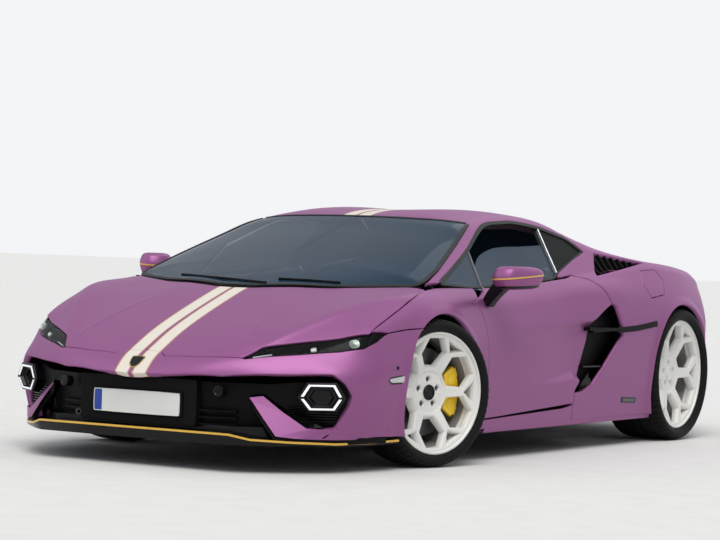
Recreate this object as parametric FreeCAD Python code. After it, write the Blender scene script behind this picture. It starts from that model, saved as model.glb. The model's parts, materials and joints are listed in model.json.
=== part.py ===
"""Two-seat mid-engined supercar, in millimetres.

+X is the car's left, -Y its nose, +Z up. The origin is on the ground under the middle of the car.
Lengthwise places are measured from the front axle with front() and from the rear axle with rear().
"""
import FreeCAD
import Part
import math
import os

V = FreeCAD.Vector

# Driving dimensions
WHEELBASE = 2658.0
FRONT_OVERHANG = 1130.0
REAR_OVERHANG = 918.0
FRONT_TRACK = 1722.0
REAR_TRACK = 1670.0
FLOOR_Z = 122.0
STEER_REST = 15.8
STEER_PIVOT_X = 800.0

FRONT_AXLE_Y = FRONT_OVERHANG - (FRONT_OVERHANG + WHEELBASE + REAR_OVERHANG) / 2
REAR_AXLE_Y = FRONT_AXLE_Y + WHEELBASE

# Wheels
FRONT_TYRE_RADIUS = 343.0
FRONT_TYRE_WIDTH = 255.0
FRONT_RIM_RADIUS = 284.0
REAR_TYRE_RADIUS = 361.0
REAR_TYRE_WIDTH = 325.0
REAR_RIM_RADIUS = 297.0
RIM_DISH = 62.0
DISC_RADIUS = 205.0
DISC_THICKNESS = 32.0
HUB_RADIUS = 92.0
BORE_RADIUS = 34.0
STUD_CIRCLE = 60.0
BELL_RADIUS = 97.0

# Clearances
SHUT_GAP = 6.0
COVER_GAP = 8.0
PIVOT_GAP = 0.3
ARCH_GAP = 20.0
COWL_WIDTH = 26.0
FIT_GAP = 0.3

# Wall thicknesses
PANEL = 24.0
LID = 30.0
ROOF = 40.0
DOOR = 105.0
GLASS = 9.0
FLAP = 10.0
LINER = 5.0


def front(offset):
    """Lengthwise place measured from the front axle."""
    return FRONT_AXLE_Y + offset


def rear(offset):
    """Lengthwise place measured from the rear axle."""
    return REAR_AXLE_Y + offset


# Body sections from the centre line out and down, one row per section. Each pair is (x, z) at the
# roof bubble, the ridge (pillar and buttress), the glass foot, the fender crest, the shoulder,
# the waist, the flank and the sill.
SECTIONS = (
    # y, centre z, then x and z of the eight places
    (front(-1130), 412, 20, 412, 40, 412, 50, 412, 60, 411, 80, 409, 100, 404, 90, 394, 60, 388),
    (front(-1099), 446, 80, 446, 130, 445, 155, 443, 180, 440, 250, 430, 280, 412, 260, 380, 200, 360),
    (front(-1062), 480, 110, 480, 190, 479, 230, 475, 270, 470, 340, 455, 385, 418, 370, 300, 330, 160),
    (front(-967), 535, 180, 534, 300, 533, 350, 528, 400, 522, 500, 503, 600, 420, 590, 300, 540, 145),
    (front(-868), 587, 230, 586, 464, 577, 500, 572, 541, 565, 640, 520, 745, 424, 735, 300, 680, 145),
    (front(-767), 632, 215, 631, 432, 630, 520, 622, 600, 620, 755, 545, 892, 436, 885, 320, 830, 145),
    (front(-677), 668, 200, 667, 405, 666, 530, 657, 645, 660, 850, 572, 945, 440, 938, 320, 885, 150),
    (front(-587), 702, 190, 702, 378, 700, 540, 690, 695, 700, 912, 623, 968, 450, 960, 330, 915, 150),
    (front(-417), 763, 160, 763, 325, 762, 560, 745, 785, 758, 925, 690, 982, 480, 975, 340, 940, 150),
    (front(-307), 800, 145, 800, 292, 798, 570, 772, 845, 780, 938, 715, 986, 500, 978, 350, 945, 150),
    (front(-292), 812, 40, 812, 90, 811, 130, 805, 850, 783, 940, 718, 986, 503, 978, 350, 945, 150),
    (front(-177), 853, 230, 845, 452, 822, 476, 812, 893, 793, 948, 735, 988, 520, 980, 350, 948, 150),
    (front(-77), 886, 330, 874, 622, 829, 648, 817, 893, 800, 952, 742, 990, 535, 980, 350, 948, 150),
    (front(60), 930, 420, 915, 812, 838, 838, 824, 890, 806, 952, 748, 990, 540, 978, 350, 945, 150),
    (front(223), 984, 420, 968, 778, 905, 842, 826, 880, 815, 935, 755, 975, 550, 962, 350, 938, 150),
    (front(403), 1042, 400, 1027, 731, 976, 842, 825, 868, 815, 915, 762, 958, 560, 955, 380, 938, 150),
    (front(623), 1112, 380, 1098, 672, 1062, 838, 828, 858, 818, 905, 768, 950, 565, 953, 380, 938, 150),
    (front(773), 1163, 350, 1156, 630, 1120, 836, 832, 857, 822, 904, 772, 949, 570, 953, 380, 939, 150),
    (front(893), 1183, 350, 1188, 618, 1142, 836, 837, 857, 827, 904, 776, 948, 575, 954, 380, 940, 150),
    (front(1073), 1197, 350, 1208, 610, 1166, 836, 849, 857, 839, 905, 788, 950, 586, 955, 380, 941, 150),
    (rear(-1335), 1200, 350, 1215, 605, 1185, 838, 868, 858, 858, 908, 805, 955, 600, 958, 380, 942, 148),
    (rear(-1095), 1186, 350, 1203, 635, 1166, 840, 885, 862, 876, 922, 830, 965, 625, 963, 380, 942, 148),
    (rear(-835), 1140, 380, 1155, 712, 1083, 842, 915, 868, 900, 938, 840, 978, 640, 970, 380, 945, 148),
    (rear(-597), 1085, 400, 1095, 800, 1013, 848, 940, 885, 920, 952, 822, 988, 640, 978, 380, 948, 150),
    (rear(-295), 1016, 420, 1020, 858, 975, 875, 962, 902, 938, 968, 800, 994, 640, 985, 385, 950, 152),
    (rear(0), 966, 420, 968, 868, 957, 886, 944, 908, 925, 972, 790, 998, 640, 990, 400, 955, 160),
    (rear(350), 925, 420, 927, 845, 922, 862, 906, 882, 885, 935, 775, 968, 640, 955, 430, 920, 220),
    (rear(505), 912, 420, 914, 800, 898, 815, 883, 832, 864, 870, 770, 905, 645, 890, 470, 860, 300),
    (rear(665), 905, 420, 907, 740, 890, 752, 878, 765, 860, 785, 770, 805, 650, 795, 500, 770, 330),
    (rear(785), 900, 400, 902, 620, 888, 640, 872, 655, 850, 680, 765, 690, 650, 680, 500, 650, 350),
    (rear(855), 895, 250, 896, 400, 885, 430, 868, 460, 845, 490, 760, 500, 650, 490, 500, 460, 360),
)


# Shape helpers
def box(x0, x1, y0, y1, z0, z1):
    """Box between two corners."""
    return Part.makeBox(x1 - x0, y1 - y0, z1 - z0, V(x0, y0, z0))


def mirrored(shape):
    """The same shape on the car's other side."""
    return shape.mirror(V(0, 0, 0), V(1, 0, 0))


def pair(shape):
    """The shape and its mirror image as one node of solids that don't touch."""
    return Part.makeCompound(solids(shape) + solids(mirrored(shape)))


def solids(shape):
    """The solids of a shape."""
    return list(shape.Solids)


def whole(half):
    """One solid from a half that ends at the centre plane."""
    return half.fuse(mirrored(half)).removeSplitter()


def fuse(first, *others):
    """One shape from several that touch."""
    return first.multiFuse(list(others)).removeSplitter()


def prism(points, direction, start, end, grow=0.0):
    """Prism through points in space, run along a direction from one plane to another.

    The planes are square to the direction's largest part. grow widens the outline.
    """
    axis = max(range(3), key=lambda i: abs(direction[i]))
    run = V(*direction)
    placed = []
    for point in points:
        place = V(*point)
        placed.append(place + run * ((start - place[axis]) / run[axis]))
    face = Part.Face(Part.makePolygon(placed + placed[:1]))
    if grow:
        face = face.makeOffset2D(grow, 2)
    return face.extrude(run * ((end - start) / run[axis]))


def side_prism(outline, near, far, grow=0.0, lean=0.0, plane=955.0):
    """Prism square to the car's side, through (y, z) points that lie at x = plane."""
    points = [(plane, y, z) for y, z in outline]
    return prism(points, (-1, -lean, 0), near, far, grow)


def plan_prism(outline, top, bottom, grow=0.0):
    """Vertical prism through (x, y) points."""
    return prism([(x, y, 0) for x, y in outline], (0, 0, -1), top, bottom, grow)


def cylinder(centre, axis, radius, length):
    """Cylinder centred at a point."""
    along = V(*axis)
    along.normalize()
    return Part.makeCylinder(radius, length, V(*centre) - along * (length / 2), along)


def turned(profile, axis_y, axis_z):
    """Solid turned about a crosswise axis, from (x, radius) points."""
    points = [V(x, axis_y, axis_z + radius) for x, radius in profile]
    face = Part.Face(Part.makePolygon(points + points[:1]))
    return face.revolve(V(0, axis_y, axis_z), V(1, 0, 0), 360)


def main_solid(shape):
    """The largest solid of a shape."""
    return max(shape.Solids, key=lambda solid: solid.Volume)


def save(name, shape):
    """Write one node."""
    shape.exportStep("parts/" + name + ".step")


def section_wire(row):
    """Closed outline of half a body section."""
    y, centre_z = row[0], row[1]
    points = [V(0, y, centre_z)] + [V(x, y, z) for x, z in zip(row[2::2], row[3::2])]
    points.append(V(0, y, row[-1]))
    return Part.makePolygon(points + points[:1])


os.makedirs("parts", exist_ok=True)

HULL = Part.makeLoft([section_wire(row) for row in SECTIONS], True, True)
WIDE = 1150.0
TALL = 1300.0


def skin(region, shift):
    """Body wall inside a region, as thick as the shift of its inner face."""
    inner = HULL.translated(V(*shift))
    return HULL.common(region).cut(inner)


# Shut lines, on the left side
DOOR_HINGE = (956.0, front(463))
DOOR_LINE = (
    (front(463) + SHUT_GAP / 2, 200), (front(463) + SHUT_GAP / 2, 640), (front(455), 700),
    (front(412), 757),
    (front(440), 785), (front(560), 812),
    (front(560), 880), (rear(-1200), 925), (rear(-1035), 876), (rear(-866), 793), (rear(-808), 742),
    (rear(-973), 738), (rear(-1138), 660), (rear(-1145), 560), (rear(-1267), 359), (rear(-1267), 240),
)
GLASS_LINE = (
    (front(560), 800), (front(653), 990), (front(973), 1127), (front(1150), 1147), (front(1294), 1152),
    (rear(-1155), 1131), (rear(-1245), 870), (rear(-1300), 845), (front(623), 800),
)
# Top edge of the left window, which stands partly lowered
WINDOW_TOP_LINE = (
    (front(500), 850), (front(660), 944), (front(972), 1028), (front(1255), 1041), (front(1500), 1053),
    (front(1700), 1053), (front(1700), TALL), (front(500), TALL),
)
PANE_LINE = (
    (front(190), 838), (front(660), 1005), (front(575), 812), (front(470), 815),
)
REAR_PANE_LINE = (
    (rear(-1150), 1125), (rear(-920), 1079), (rear(-835), 1014), (rear(-1000), 970), (rear(-1240), 899),
)
UPPER_INTAKE_LINE = (
    (rear(-732), 1014), (rear(-288), 964), (rear(-630), 927), (rear(-862), 893),
)
SIDE_INTAKE_LINE = (
    (rear(-1267), 359), (rear(-1145), 560), (rear(-1138), 660), (rear(-973), 738), (rear(-800), 742),
    (rear(-750), 630), (rear(-745), 587), (rear(-930), 430), (rear(-1070), 322), (rear(-1150), 300),
)
FLAP_LINE = (
    (rear(-465), 915), (rear(-330), 922), (rear(-200), 872), (rear(-190), 796), (rear(-330), 775),
    (rear(-440), 850),
)
HOOD_NOSE = (
    (0, front(-1038), 494), (139, front(-1038), 494), (165, front(-1020), 496), (489, front(-959), 507),
    (640, front(-868), 522), (780, front(-735), 560), (912, front(-588), 623),
)
SCREEN_FOOT = ((0, front(-292)), (95, front(-288)), (460, front(-177)), (630, front(-77)), (790, front(45)))
HOOD_HINGE = (front(31), 822.5)
ENGINE_HINGE = (rear(-1009), 1187.0)

# The lid over the front boot: its nose edge leans back as it goes down, to swing clear
hood_edge = [(x, y) for x, y, z in HOOD_NOSE]
hood_edge += [(906, front(-377)), (893, front(-174)), (874, front(-60)), (850, HOOD_HINGE[0] - SHUT_GAP / 2)]
hood_edge += [(795, HOOD_HINGE[0] - SHUT_GAP / 2), (745, front(-17))]
hood_edge += [(x, y - COWL_WIDTH) for x, y in reversed(SCREEN_FOOT[:-1])]
hood_nose = list(HOOD_NOSE) + [(1000, front(-560), 640), (1000, front(400), 800), (0, front(400), 800)]
HOOD_LEAN = (0, 0.36, -1)
hood_upright = plan_prism(hood_edge, 900, 380)
hood_leaned = prism(hood_nose, HOOD_LEAN, 900, 380)
hood_room = plan_prism(hood_edge, 960, 360, SHUT_GAP).common(prism(hood_nose, HOOD_LEAN, 960, 360, SHUT_GAP))
half_hood = skin(hood_upright.common(hood_leaned), (0, 0, -LID))
save("front_lid", whole(half_hood))
hood_room = hood_room.fuse(mirrored(hood_room))

# Doors, cut so that the inner edges lie further forward and swing clear of the rear jamb
DOOR_LEAN = 0.2
door_cut = side_prism(DOOR_LINE, WIDE, 760, 0, DOOR_LEAN)
door_room = side_prism(DOOR_LINE, WIDE, 640, SHUT_GAP, DOOR_LEAN)
belt_block = box(300, 840, front(300), rear(-800), 700, TALL)
door_panel = skin(door_cut, (-DOOR, 0, 0)).cut(belt_block)
glass_cut = side_prism(GLASS_LINE, WIDE, 500, 0, DOOR_LEAN, 760)
glass_room = side_prism(GLASS_LINE, WIDE, 500, SHUT_GAP, DOOR_LEAN, 760)
door_glass = skin(glass_cut, (-GLASS, 0, -GLASS / 2)).cut(door_panel)
above_window = side_prism(WINDOW_TOP_LINE, WIDE, 500)
save("door_left", door_panel)
save("door_right", mirrored(door_panel))
save("door_glass_left", door_glass.cut(above_window))
save("door_glass_right", mirrored(door_glass))


# Windscreen, roof with its pillars, and the fixed side panes
screen_edge = list(SCREEN_FOOT) + [(601, front(858)), (320, front(792)), (0, front(776))]
screen_cut = plan_prism(screen_edge, TALL, 780)
save("windscreen", whole(skin(screen_cut, (0, 0, -GLASS))))

pane_cut = side_prism(PANE_LINE, WIDE, 500, 0, 0, 790)
rear_pane_cut = side_prism(REAR_PANE_LINE, WIDE, 500, 0, 0, 740)
front_pane = skin(pane_cut, (-GLASS, 0, -GLASS / 2)).cut(glass_room).cut(door_room)
front_pane = front_pane.common(box(300, 840, front(0), front(800), 700, TALL))
rear_pane = skin(rear_pane_cut, (-GLASS, 0, -GLASS / 2)).cut(glass_room).cut(door_room)
save("side_panes", pair(Part.makeCompound(solids(front_pane) + solids(rear_pane))))

engine_edge = [
    (0, ENGINE_HINGE[0] + COVER_GAP / 2), (500, ENGINE_HINGE[0] + COVER_GAP / 2), (640, rear(-597)),
    (690, rear(-295)), (690, rear(0)), (640, rear(400)), (0, rear(400)),
]
engine_points = [(x, y, 900) for x, y in engine_edge]
ENGINE_LEAN = (0, -0.3, -1)


def leaned_block(rear_edge, bottom):
    """Block whose rear face leans forward as it rises."""
    corners = [(0, front(400), 905), (1000, front(400), 905), (1000, rear_edge, 905), (0, rear_edge, 905)]
    return prism(corners, ENGINE_LEAN, TALL, bottom)


engine_leaned = leaned_block(rear(400), 800)
engine_room_leaned = leaned_block(rear(400) + COVER_GAP, 700)
engine_cut = plan_prism(engine_edge, TALL, 800).common(engine_leaned)
engine_room = plan_prism(engine_edge, TALL, 760, COVER_GAP).common(engine_room_leaned)
save("engine_cover", whole(skin(engine_cut, (0, 0, -LID))))
engine_room = engine_room.fuse(mirrored(engine_room))

upper_intake = side_prism(UPPER_INTAKE_LINE, WIDE, 560)
side_intake = side_prism(SIDE_INTAKE_LINE, WIDE, 560)

roof_region = box(0, 843, front(30), rear(-1005), 815, TALL)
for taken in (screen_cut, pane_cut, rear_pane_cut, glass_room, door_room, hood_room, engine_room,
              upper_intake):
    roof_region = roof_region.cut(taken)
engine_pin = cylinder((350, ENGINE_HINGE[0], ENGINE_HINGE[1]), (1, 0, 0), COVER_GAP / 2 - PIVOT_GAP, 40)
roof_half = skin(roof_region, (-20, 0, -ROOF))
roof = whole(main_solid(roof_half))
save("roof", Part.makeCompound(solids(roof) + solids(pair(engine_pin))))
rear_pillars = [solid for solid in roof_half.Solids
                if solid.BoundBox.Center.y > 0 and solid.BoundBox.XMin > 400]

# Nose: bumper, lamps, grille and splitter
FRONT_ARCH = cylinder((WIDE / 2 + 250, FRONT_AXLE_Y, FRONT_TYRE_RADIUS), (1, 0, 0),
                      FRONT_TYRE_RADIUS + ARCH_GAP, WIDE)
REAR_ARCH = cylinder((WIDE / 2 + 250, REAR_AXLE_Y, REAR_TYRE_RADIUS), (1, 0, 0),
                     REAR_TYRE_RADIUS + ARCH_GAP, WIDE)
SPLITTER_TOP = 150.0
BUMPER_LINE_Z = 617.0
LAMP_EDGE = (
    (480, front(-966)), (650, front(-860)), (790, front(-725)), (925, front(-580)), (990, front(-560)),
    (990, front(-600)), (935, front(-668)), (850, front(-752)), (690, front(-885)), (500, front(-974)),
)
GRILLE_EDGE = (
    (0, 388), (600, 388), (800, 416), (868, 418), (925, 340), (900, 218), (800, 194), (662, 272), (578, 345),
    (517, 337), (655, 165), (655, 130), (0, 130),
)
GRILLE_DEPTH = 62.0
GRILLE_WALL = 22.0
BAR_DEPTH = 26.0
BAR_THICKNESS = 9.0
GRILLE_BARS = (168.0, 198.0, 228.0, 258.0)
INTAKE_BARS = (222.0,)
lamp_cut = plan_prism(LAMP_EDGE, 720, 400)
grille_points = [(x, 0, z) for x, z in GRILLE_EDGE]
grille_cut = prism(grille_points, (0, 1, 0), front(-1300), front(-640))
nose_region = box(0, WIDE, front(-1200), front(-580), SPLITTER_TOP, 760)
nose_region = nose_region.fuse(box(600, WIDE, front(-580), front(-100), SPLITTER_TOP, BUMPER_LINE_Z))
for taken in (hood_room, lamp_cut, grille_cut, FRONT_ARCH):
    nose_region = nose_region.cut(taken)
bumper = skin(nose_region, (-PANEL, 36, -PANEL))
save("front_bumper", whole(bumper))

headlamp = skin(lamp_cut.cut(hood_room), (-40, 40, -45))
save("headlamps", pair(headlamp))

grille_back = HULL.translated(V(0, GRILLE_DEPTH, 0)).common(grille_cut).cut(bumper)
grille = grille_back.cut(HULL.translated(V(0, GRILLE_DEPTH + GRILLE_WALL, 0)))
bar_zone = HULL.translated(V(0, GRILLE_DEPTH - BAR_DEPTH, 0)).common(grille_cut).cut(bumper)
bar_zone = bar_zone.cut(HULL.translated(V(0, GRILLE_DEPTH + GRILLE_WALL / 2, 0)))
bars = [box(0, 470, front(-1200), front(-640), z, z + BAR_THICKNESS) for z in GRILLE_BARS]
bars += [box(655, 905, front(-1200), front(-500), z, z + BAR_THICKNESS) for z in INTAKE_BARS]
grille = fuse(grille, *[bar_zone.common(bar) for bar in bars])
grille = grille.common(box(0, WIDE, front(-1200), front(-640), SPLITTER_TOP, 430)).cut(headlamp)

LAMP_CENTRE = (812.0, 340.0)
LAMP_HEX = ((-78, 0), (-40, 52), (52, 54), (86, 0), (52, -54), (-40, -52))


def hex_ring(scale):
    """Outline of the intake lamp at a scale about its centre."""
    return [(LAMP_CENTRE[0] + x * scale, 0, LAMP_CENTRE[1] + z * scale) for x, z in LAMP_HEX]


ring = prism(hex_ring(1.0), (0, 1, 0), front(-880), front(-640))
ring = ring.cut(prism(hex_ring(0.82), (0, 1, 0), front(-890), front(-630)))
ring = ring.common(HULL.translated(V(0, 14, 0))).cut(HULL.translated(V(0, GRILLE_DEPTH, 0)))
save("intake_lamps", pair(ring))

SPLITTER_EDGE = (
    (0, front(-1112)), (220, front(-1110)), (521, front(-1101)), (594, front(-1046)), (724, front(-924)),
    (857, front(-756)), (908, front(-549)), (947, front(-400)), (947, front(-372)), (560, front(-372)),
    (560, front(-420)), (0, front(-420)),
)
splitter = plan_prism(SPLITTER_EDGE, SPLITTER_TOP, FLOOR_Z)
save("splitter", whole(splitter))

# Front fenders
DOOR_FOOT_Z = 197.0
fender_region = box(300, WIDE, front(-580), front(480), DOOR_FOOT_Z, 900)
fender_region = fender_region.cut(box(300, WIDE, front(-580), front(0), 0, BUMPER_LINE_Z))
fender_region = fender_region.cut(box(300, 843, front(-400), front(480), 600, 900))
for taken in (hood_room, door_room, glass_room, screen_cut, pane_cut, lamp_cut, FRONT_ARCH):
    fender_region = fender_region.cut(taken)
fender = skin(fender_region, (-PANEL, 0, -PANEL))
fender = main_solid(fender)
hinge_pins = [cylinder((DOOR_HINGE[0], DOOR_HINGE[1], z), (0, 0, 1), SHUT_GAP / 2 - PIVOT_GAP, 50)
              for z in (470, 540)]
save("front_fenders", pair(Part.makeCompound(solids(fender) + hinge_pins)))

# Sills under the doors
sill_region = side_prism(
    ((front(250), 100), (front(250), DOOR_FOOT_Z), (front(463), DOOR_FOOT_Z), (rear(-1267), 236),
     (rear(-300), 250), (rear(-300), 100)), WIDE, 600)
HOUSING_RADIUS = 412.0
HOUSING_OUTER_X = 928.0
front_housing = cylinder((HOUSING_OUTER_X - 200, FRONT_AXLE_Y, FRONT_TYRE_RADIUS), (1, 0, 0),
                         HOUSING_RADIUS, 400)
sill_region = sill_region.cut(door_room).cut(FRONT_ARCH).cut(REAR_ARCH)
sill = main_solid(skin(sill_region, (-DOOR, 0, 0)).cut(front_housing))
save("sills", pair(sill))

# Rear quarters with the buttresses
QUARTER_END = rear(470)
quarter_region = box(843, WIDE, rear(-1320), rear(-1005), 100, 1000)
quarter_region = quarter_region.fuse(box(300, WIDE, rear(-1005), QUARTER_END, 100, TALL))
quarter_region = quarter_region.cut(box(300, 700, rear(-1005), QUARTER_END, 0, 860))
for taken in (door_room, glass_room, rear_pane_cut, engine_room, upper_intake, side_intake, sill_region,
              REAR_ARCH):
    quarter_region = quarter_region.cut(taken)
quarter = main_solid(skin(quarter_region, (-PANEL, 0, -PANEL)))
quarter = fuse(quarter, *rear_pillars)


def side_place(y, z):
    """Point on the body's left surface at a place seen from the side."""
    probe = Part.makeLine(V(500, y, z), V(WIDE, y, z))
    return V(HULL.common(probe).BoundBox.XMax, y, z)


FLAP_HINGE_Y = FLAP_LINE[0][0] - SHUT_GAP / 2
flap_low = side_place(FLAP_HINGE_Y, 850)
flap_high = side_place(FLAP_HINGE_Y, 915)
flap_axis = (flap_high - flap_low).normalize()
flap_aim = V(-flap_axis.z, 0, flap_axis.x)
flap_places = [side_place(y, z) for y, z in FLAP_LINE]
fuel_flap = skin(prism(flap_places, flap_aim, WIDE, 700), (-FLAP, 0, -FLAP / 2))
flap_room = prism(flap_places, flap_aim, WIDE, 700, SHUT_GAP)
flap_pin = cylinder(tuple(flap_high - flap_axis * 8), tuple(flap_axis), SHUT_GAP / 2 - PIVOT_GAP, 14)
quarter_left = quarter.cut(flap_room)
save("quarter_left", Part.makeCompound(solids(quarter_left) + [flap_pin]))
save("quarter_right", mirrored(quarter))
save("fuel_flap", fuel_flap)

# Cowl strip under the windscreen, and the wipers that lie on the glass
cowl_edge = [(x, y - COWL_WIDTH - 10) for x, y in SCREEN_FOOT[:-1]] + [(800, front(20)), (800, front(60))]
cowl_edge += [(x, y + 4) for x, y in reversed(SCREEN_FOOT[:-1])]
cowl_region = plan_prism(cowl_edge, 900, 700).fuse(box(300, 843, front(-400), front(30), 600, 900))
cowl_region = cowl_region.cut(hood_room).cut(screen_cut).cut(roof)
cowl = main_solid(skin(cowl_region, (0, 0, -45)).cut(fender))
hood_pin = cylinder((807, HOOD_HINGE[0], HOOD_HINGE[1]), (1, 0, 0), SHUT_GAP / 2 - PIVOT_GAP, 20)


def surface_height(x, y):
    """Height of the body's upper surface at a place in plan."""
    probe = Part.makeLine(V(x, y, 700), V(x, y, TALL))
    return HULL.common(probe).BoundBox.ZMax


def wiper(places):
    """Wiper arm and blade as a rounded bar along the glass."""
    points = [V(x, y, surface_height(abs(x), y) + 4) for x, y in places]
    arm = Part.makeSphere(7, points[0])
    for start, end in zip(points, points[1:]):
        bar = Part.makeCylinder(6, (end - start).Length, start, end - start)
        arm = arm.fuse(bar).fuse(Part.makeSphere(6, end))
    return arm


screen = whole(skin(screen_cut, (0, 0, -GLASS)))
wiper_left = wiper([(140, front(-262)), (-130, front(-232)), (-420, front(-140))])
wiper_right = wiper([(470, front(-140)), (330, front(-176)), (180, front(-205))])
save("cowl", Part.makeCompound(solids(whole(cowl)) + solids(pair(hood_pin))))

# Tail: fascia, lamps, grille, exhaust and diffuser
TAIL_LAMP = (600.0, 762.0)
TAIL_HEX = ((-118, 0), (-66, 52), (66, 52), (112, 6), (66, -50), (-66, -50))
TAIL_GRILLE_EDGE = ((0, 850), (400, 842), (452, 790), (452, 640), (380, 560), (0, 552))
EXHAUST_HEX = ((-128, 0), (-78, 72), (78, 72), (128, 0), (78, -72), (-78, -72))
EXHAUST_Z = 672.0
TAIL_BARS = (596.0, 636.0, 676.0, 716.0, 756.0, 796.0)


def tail_prism(outline, centre, scale, start, end):
    """Lengthwise prism of an outline scaled about a centre, seen from behind."""
    points = [(centre[0] + x * scale, 0, centre[1] + z * scale) for x, z in outline]
    return prism(points, (0, 1, 0), start, end)


tail_lamp_cut = tail_prism(TAIL_HEX, TAIL_LAMP, 1.0, rear(500), rear(918))
tail_grille_cut = prism([(x, 0, z) for x, z in TAIL_GRILLE_EDGE], (0, 1, 0), rear(500), rear(918))
tail_region = box(0, WIDE, QUARTER_END, rear(918), 250, 1000).fuse(
    box(0, 300, rear(350), QUARTER_END, 800, 1000)).cut(engine_room)
for taken in (tail_lamp_cut, tail_grille_cut, REAR_ARCH):
    tail_region = tail_region.cut(taken)
tail = skin(tail_region, (-PANEL, -32, -PANEL))
tail_lamp = HULL.translated(V(0, -8, 0)).common(tail_lamp_cut).cut(HULL.translated(V(-30, -60, 0)))
tail_grille = HULL.translated(V(0, -24, 0)).common(tail_grille_cut).cut(HULL.translated(V(0, -44, 0)))
tail_bar_zone = HULL.translated(V(0, -10, 0)).common(tail_grille_cut).cut(HULL.translated(V(0, -34, 0)))
tail_bars = [tail_bar_zone.common(box(0, 500, rear(500), rear(918), z, z + BAR_THICKNESS))
             for z in TAIL_BARS]
tail_grille = fuse(tail_grille, *tail_bars)
exhaust_room = tail_prism(EXHAUST_HEX, (0, EXHAUST_Z), 1.0, rear(600), rear(918))
exhaust = tail_prism(EXHAUST_HEX, (0, EXHAUST_Z), 1.0, rear(620), rear(862))
exhaust = exhaust.cut(tail_prism(EXHAUST_HEX, (0, EXHAUST_Z), 0.86, rear(640), rear(918)))
tail = whole(tail)
tail_grille = whole(tail_grille).cut(exhaust_room)
PLATE_Z = 455.0
PLATE_SPACING = 410.0
for x in (-PLATE_SPACING / 2, PLATE_SPACING / 2):
    tail = tail.cut(cylinder((x, rear(855), PLATE_Z), (0, 1, 0), 3, 100))
save("rear_bumper", tail)
save("tail_lamps", pair(tail_lamp))
save("rear_grille", tail_grille)
save("exhaust", exhaust)

DIFFUSER_HALF = 640.0
DIFFUSER_FINS = (130.0, 330.0, 560.0)
DIFFUSER_FIN_THICKNESS = 14.0
diffuser_plate = side_prism(
    ((rear(380), 128), (rear(640), 165), (rear(918), 290), (rear(918), 322), (rear(630), 197),
     (rear(380), 158)), DIFFUSER_HALF, 0)
diffuser_wall = side_prism(
    ((rear(760), 245), (rear(918), 300), (rear(918), 345), (rear(880), 420), (rear(760), 420)), 480, 0)
under_fins = side_prism(((rear(500), 90), (rear(500), 141), (rear(918), 205), (rear(918), 90)), 600, 0)
diffuser_fins = [box(x, x + DIFFUSER_FIN_THICKNESS, rear(520), rear(905), 140, 300).cut(under_fins)
                 for x in DIFFUSER_FINS]
diffuser = whole(fuse(diffuser_plate, diffuser_wall, *diffuser_fins)).cut(tail)
save("diffuser", diffuser)

# Wheels, turned about the axle and placed outboard of each hub
SPOKES = 6


def polar_prism(outline, turn, length):
    """Prism along the axle from (radial, tangential) points, turned about it."""
    points = [V(-length / 2, across, out) for out, across in outline]
    shape = Part.Face(Part.makePolygon(points + points[:1])).extrude(V(length, 0, 0))
    return shape.rotated(V(0, 0, 0), V(1, 0, 0), turn)


def rim(lip, half, disc_inner):
    """Wheel with its hub and brake disc about the X axis, outboard towards +X."""
    face = half - RIM_DISH
    disc_outer = disc_inner + DISC_THICKNESS
    barrel = turned(((-half, lip - 26), (-half, lip), (half, lip), (half, lip - 24), (half - 34, lip - 36),
                     (-half + 24, lip - 36)), 0, 0)
    plate = turned(((face - 46, BORE_RADIUS), (face - 46, HUB_RADIUS + 8), (face - 26, HUB_RADIUS + 14),
                    (half - 36, lip - 34), (half - 8, lip - 34), (face + 14, lip * 0.66), (face, HUB_RADIUS),
                    (face, 0), (face - 8, 0), (face - 8, BORE_RADIUS)), 0, 0)
    window = ((lip * 0.385, -37), (lip * 0.385, 37), (lip * 0.70, 84), (lip - 39, 50), (lip - 39, -50),
              (lip * 0.70, -84))
    notch = ((lip * 0.745, 0), (lip - 38, 52), (lip - 38, -52))
    cuts = []
    for i in range(SPOKES):
        cuts.append(polar_prism(window, 360 / SPOKES * (i + 0.5), 600))
        cuts.append(polar_prism(notch, 360 / SPOKES * i, 600))
    for i in range(5):
        hole = cylinder((face, 0, STUD_CIRCLE), (1, 0, 0), 11, 40)
        cuts.append(hole.rotated(V(0, 0, 0), V(1, 0, 0), 72 * i))
    plate = plate.cut(Part.makeCompound(cuts))
    disc_bore = BELL_RADIUS - 1
    disc = turned(((disc_inner, disc_bore), (disc_inner, DISC_RADIUS), (disc_outer, DISC_RADIUS),
                   (disc_outer, disc_bore)), 0, 0)
    bell_outer = face - 45
    bell = turned(((disc_inner, BORE_RADIUS), (disc_inner, BELL_RADIUS), (bell_outer, BELL_RADIUS),
                   (bell_outer, BORE_RADIUS)), 0, 0)
    return fuse(barrel, plate, disc, bell)


def tyre(radius, lip, width):
    """Tyre about the X axis."""
    half = width / 2
    return turned(((-half + 10, lip), (-half, lip + 20), (-half + 4, radius - 14), (-half + 24, radius - 2),
                   (-half + 60, radius), (half - 60, radius), (half - 24, radius - 2),
                   (half - 4, radius - 14), (half, lip + 20), (half - 10, lip)), 0, 0)


def steered(shape, pivot_x):
    """The shape turned about its kingpin to the parked steering angle."""
    return shape.rotated(V(pivot_x, FRONT_AXLE_Y, 0), V(0, 0, 1), -STEER_REST)


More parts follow.
